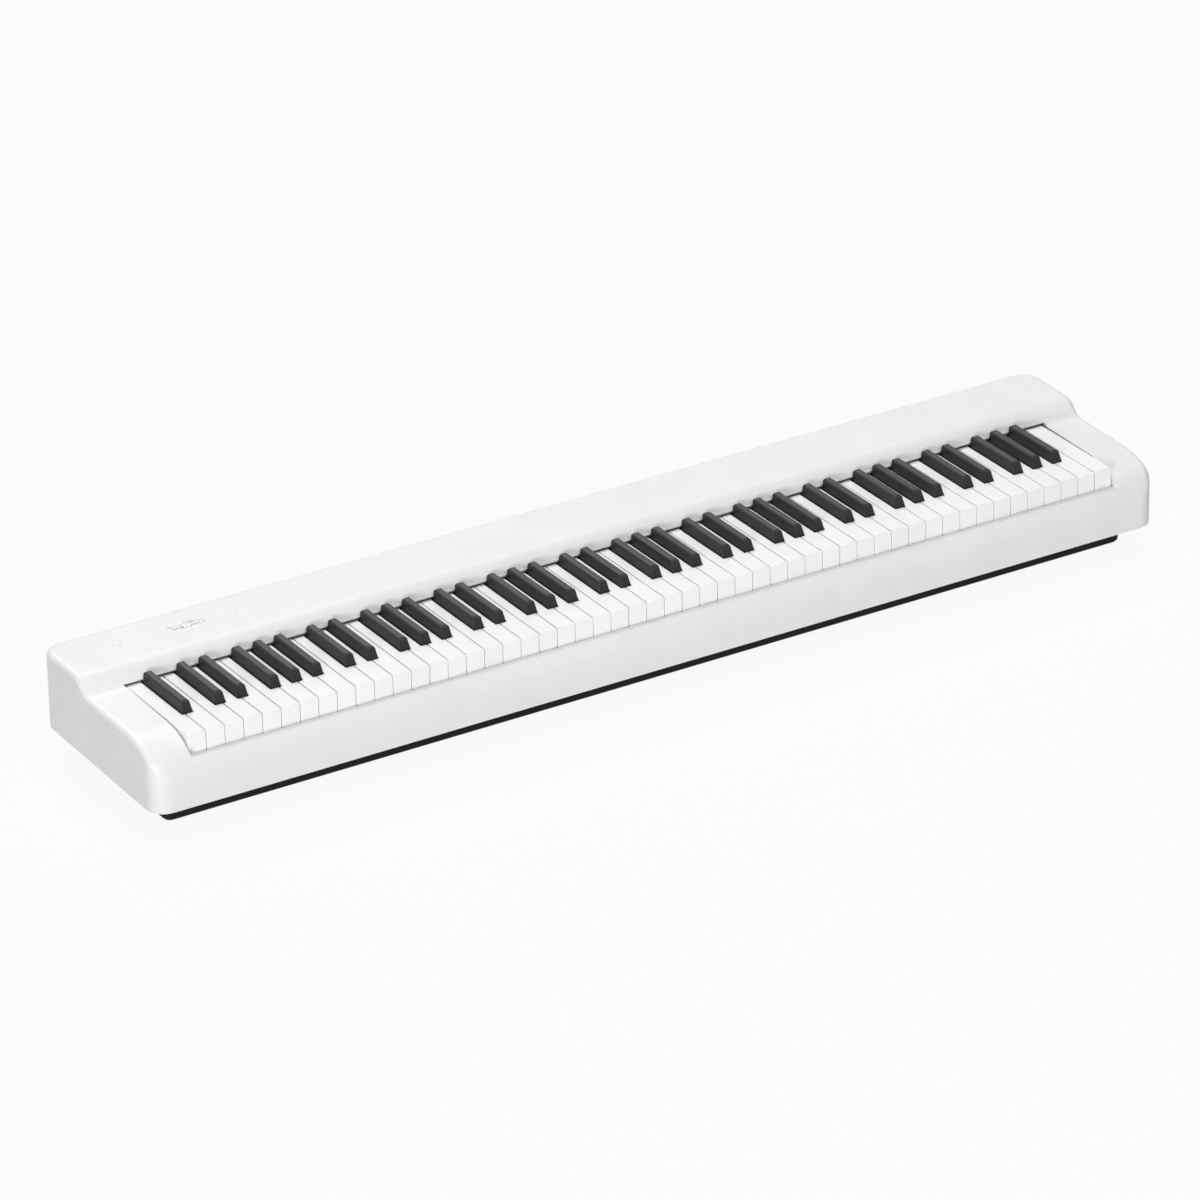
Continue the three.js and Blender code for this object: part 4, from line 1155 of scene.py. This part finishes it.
    def make_usb_insulator(self) -> None:
        """Makes the plastic inside the USB socket's shell, and its tongue."""
        face = self.face_middle("usb_socket")
        low, high = (Vector(c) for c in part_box("usb_socket"))
        inset = Vector((self.shell_wall, 0, self.shell_wall))
        start = Vector((low.x, face.y - self.frame_depth, low.z)) + inset
        end = Vector((high.x, face.y + self.frame_proud, high.z)) - inset
        insulator = block("usb_insulator", start, end)
        self.pierced(insulator, self.frame_wall)
        self.frame_rounding.give(insulator)
        fitted(insulator, SOCKET_PLASTIC)
        half_width, length, half_height = self.tongue_half
        tip = face - Vector((0, self.recess, 0))
        reach = Vector((half_width, 0, half_height))
        tongue = block("usb_tongue", tip - reach - Vector((0, length, 0)), tip + reach)
        self.tongue_rounding.give(tongue)
        fitted(tongue, SOCKET_PLASTIC)

    def make_usb_contacts(self) -> None:
        """Makes the four contacts, two on each face of the tongue."""
        face = self.face_middle("usb_socket")
        width, length, thickness = self.contact
        start = face - Vector((0, self.recess + self.contact_setback, 0))
        for number, (across, up) in enumerate(((-1, 1), (1, 1), (-1, -1), (1, -1)), start=1):
            seat = start + Vector((across * self.contact_shift, 0, up * self.tongue_half[2]))
            reach = Vector((width / 2, 0, thickness))
            contact = block(f"usb_contact_{number}", seat - reach - Vector((0, length, 0)), seat + reach)
            self.contact_rounding.give(contact)
            fitted(contact, CONTACT_GOLD)


@dataclass
class Controls:
    """The power button, the function button and the volume slider on the deck.

    Attributes:
        rounding: how their edges are rounded.
        ridge_width: the width of a ridge on the slider's knob.
        ridge_height: how far it stands up.
        ridge_pitch: the step from ridge to ridge.
        ridge_margin: how far the ridges end inside the knob's front and rear.
        ridges: how many ridges lie on either side of the middle one.
        ridge_rounding: how a ridge's edges are rounded.
    """

    rounding: Rounding = Rounding(0.2 * MM, 2, over=25.0)
    ridge_width: float = 0.7 * MM
    ridge_height: float = 0.35 * MM
    ridge_pitch: float = 1.5 * MM
    ridge_margin: float = 1.4 * MM
    ridges: int = 2
    ridge_rounding: Rounding = Rounding(0.3 * MM, smooth=60.0)

    def build(self) -> None:
        """Makes the three controls and the knob's ridges."""
        for node in ("power_button", "function_button", "volume_slider"):
            MouldedPiece(node, node, CONTROL, self.rounding).build()
        ridge = self.make_ridge()
        for step in range(-self.ridges, self.ridges + 1):
            name = f"slider_ridge_{step + self.ridges + 1}"
            fitted(copied(ridge, name, Vector((step * self.ridge_pitch, 0, 0))), CONTROL, "volume_slider")
        bpy.data.objects.remove(ridge)

    def make_ridge(self) -> bpy.types.Object:
        """Models the middle ridge.

        Returns:
            The ridge.
        """
        low, high = (Vector(c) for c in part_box("volume_slider"))
        middle = (low.x + high.x) / 2
        half = self.ridge_width / 2
        start = Vector((middle - half, low.y + self.ridge_margin, high.z - self.ridge_height))
        end = Vector((middle + half, high.y - self.ridge_margin, high.z + self.ridge_height))
        ridge = block("slider_ridge", start, end)
        self.ridge_rounding.give(ridge)
        return ridge


def direction(azimuth: float, elevation: float) -> Vector:
    """Gives a way from the piano, by degrees round it from the front to the treble end and by degrees up."""
    a, e = math.radians(azimuth), math.radians(elevation)
    return Vector((math.sin(a) * math.cos(e), -math.cos(a) * math.cos(e), math.sin(e)))


@dataclass(frozen=True)
class Softbox:
    """A flat square lamp that faces the piano.

    Attributes:
        name: the lamp's name.
        azimuth: its turn about the piano, in degrees.
        elevation: its height over the horizon, in degrees.
        distance: how far it hangs from the piano.
        side: how long its sides are.
        power: its power, in watts.
    """

    name: str
    azimuth: float
    elevation: float
    distance: float
    side: float
    power: float

    def hang(self) -> None:
        """Hangs the lamp, turned to the origin."""
        lamp = bpy.data.lights.new(self.name, "AREA")
        lamp.shape = "SQUARE"
        lamp.size = self.side
        lamp.energy = self.power
        way = direction(self.azimuth, self.elevation)
        holder = bpy.data.objects.new(self.name, lamp)
        holder.location = way * self.distance
        holder.rotation_euler = way.to_track_quat("Z", "Y").to_euler()
        bpy.context.collection.objects.link(holder)


@dataclass
class Studio:
    """The plain pale floor, the soft lamps and the camera.

    Attributes:
        azimuth: the camera's turn about the piano, in degrees.
        elevation: its height over the horizon, in degrees.
        roll: its own turn, in degrees.
        distance: how far it stands from the target.
        focal_mm: its focal length on a sensor of sensor_mm.
        sensor_mm: the sensor's width.
        target: what it looks at.
        sight: how far the camera sees.
        floor_half: half the floor's side.
        floor_grey: the floor's own colour.
        floor_white: how much of the floor is seen as plain white, over its own lit colour.
        sky: the strength of the even light from all round.
        lamps: the softboxes.
    """

    azimuth: float = -30.54
    elevation: float = 27.02
    roll: float = -1.09
    distance: float = 8.365
    focal_mm: float = 219.7
    sensor_mm: float = 36.0
    target: tuple[float, float, float] = (-0.0167, 0.0, 0.0643)
    sight: float = 100.0
    floor_half: float = 30.0
    floor_grey: float = 0.6
    floor_white: float = 0.93
    sky: float = 0.08
    lamps: tuple[Softbox, ...] = (
        Softbox("top_softbox", azimuth=0, elevation=90, distance=3.0, side=3.0, power=20),
        Softbox("front_softbox", azimuth=0, elevation=45, distance=6.0, side=2.5, power=97),
        Softbox("left_front_softbox", azimuth=-45, elevation=10, distance=12.0, side=3.0, power=830),
        Softbox("rear_softbox", azimuth=170, elevation=50, distance=12.0, side=4.0, power=815),
    )

    def build(self) -> None:
        """Sets up the floor, the light and the camera."""
        self.make_camera()
        self.make_floor()
        self.make_world()
        for lamp in self.lamps:
            lamp.hang()

    def make_camera(self) -> None:
        """Puts the camera where the photograph was taken from."""
        back = direction(self.azimuth, self.elevation)
        right = direction(self.azimuth + 90, 0)
        up = back.cross(right)
        roll = math.radians(self.roll)
        rolled_right = right * math.cos(roll) + up * math.sin(roll)
        rolled_up = up * math.cos(roll) - right * math.sin(roll)
        lens = bpy.data.cameras.new("photo_camera")
        lens.sensor_width = self.sensor_mm
        lens.lens = self.focal_mm
        lens.clip_end = self.sight
        camera = bpy.data.objects.new("photo_camera", lens)
        turn = Matrix((rolled_right, rolled_up, back)).transposed().to_4x4()
        camera.matrix_world = Matrix.Translation(Vector(self.target) + back * self.distance) @ turn
        bpy.context.collection.objects.link(camera)
        bpy.context.scene.camera = camera

    def seen_share(self, sheet: NodeSheet, share: float) -> bpy.types.NodeSocket:
        """Gives a share for what is seen directly, in a reflection or through glass, and 0 for other light.

        Args:
            sheet: where the nodes go.
            share: the share.

        Returns:
            A value output.
        """
        rays = sheet.node("ShaderNodeLightPath")
        seen = rays.outputs["Is Camera Ray"]
        for kind in ("Is Glossy Ray", "Is Transmission Ray"):
            either = sheet.node("ShaderNodeMath")
            either.operation = "MAXIMUM"
            sheet.link(seen, either.inputs[0])
            sheet.link(rays.outputs[kind], either.inputs[1])
            seen = either.outputs["Value"]
        scaled = sheet.node("ShaderNodeMath")
        scaled.operation = "MULTIPLY"
        scaled.inputs[1].default_value = share
        sheet.link(seen, scaled.inputs[0])
        return scaled.outputs["Value"]

    def make_floor(self) -> None:
        """Lays a pale floor, which the camera sees as nearly white with a soft shadow."""
        deselect()
        bpy.ops.mesh.primitive_plane_add(size=self.floor_half * 2)
        floor = settled("floor")
        material = bpy.data.materials.new("floor")
        material.use_nodes = True
        sheet = NodeSheet(material.node_tree)
        shader = sheet.tree.nodes["Principled BSDF"]
        shader.inputs["Base Color"].default_value = (*[self.floor_grey] * 3, 1)
        shader.inputs["Roughness"].default_value = 1
        shader.inputs["Specular IOR Level"].default_value = 0
        white = sheet.node("ShaderNodeEmission")
        white.inputs["Color"].default_value = WHITE
        mix = sheet.node("ShaderNodeMixShader")
        sheet.link(self.seen_share(sheet, self.floor_white), mix.inputs["Fac"])
        sheet.link(shader.outputs["BSDF"], mix.inputs[1])
        sheet.link(white.outputs["Emission"], mix.inputs[2])
        sheet.link(mix.outputs["Shader"], sheet.tree.nodes["Material Output"].inputs["Surface"])
        floor.data.materials.append(material)

    def make_world(self) -> None:
        """Lights the piano evenly from all round, with a white that the camera sees beyond the floor."""
        world = bpy.data.worlds.new("studio")
        world.use_nodes = True
        sheet = NodeSheet(world.node_tree)
        light = sheet.tree.nodes["Background"]
        light.inputs["Color"].default_value = WHITE
        light.inputs["Strength"].default_value = self.sky
        white = sheet.node("ShaderNodeBackground")
        white.inputs["Color"].default_value = WHITE
        mix = sheet.node("ShaderNodeMixShader")
        sheet.link(self.seen_share(sheet, 1), mix.inputs["Fac"])
        sheet.link(light.outputs["Background"], mix.inputs[1])
        sheet.link(white.outputs["Background"], mix.inputs[2])
        sheet.link(mix.outputs["Shader"], sheet.tree.nodes["World Output"].inputs["Surface"])
        bpy.context.scene.world = world


def main() -> None:
    """Builds the studio and every piece, in order."""
    logging.basicConfig(level=logging.INFO, format="%(name)s: %(message)s")
    bpy.context.scene.view_settings.view_transform = "Standard"
    Studio().build()
    Case().build()
    KeyAction().build()
    Keyboard().build()
    Speakers().build()
    Sockets().build()
    Controls().build()


if __name__ == "__main__":
    main()
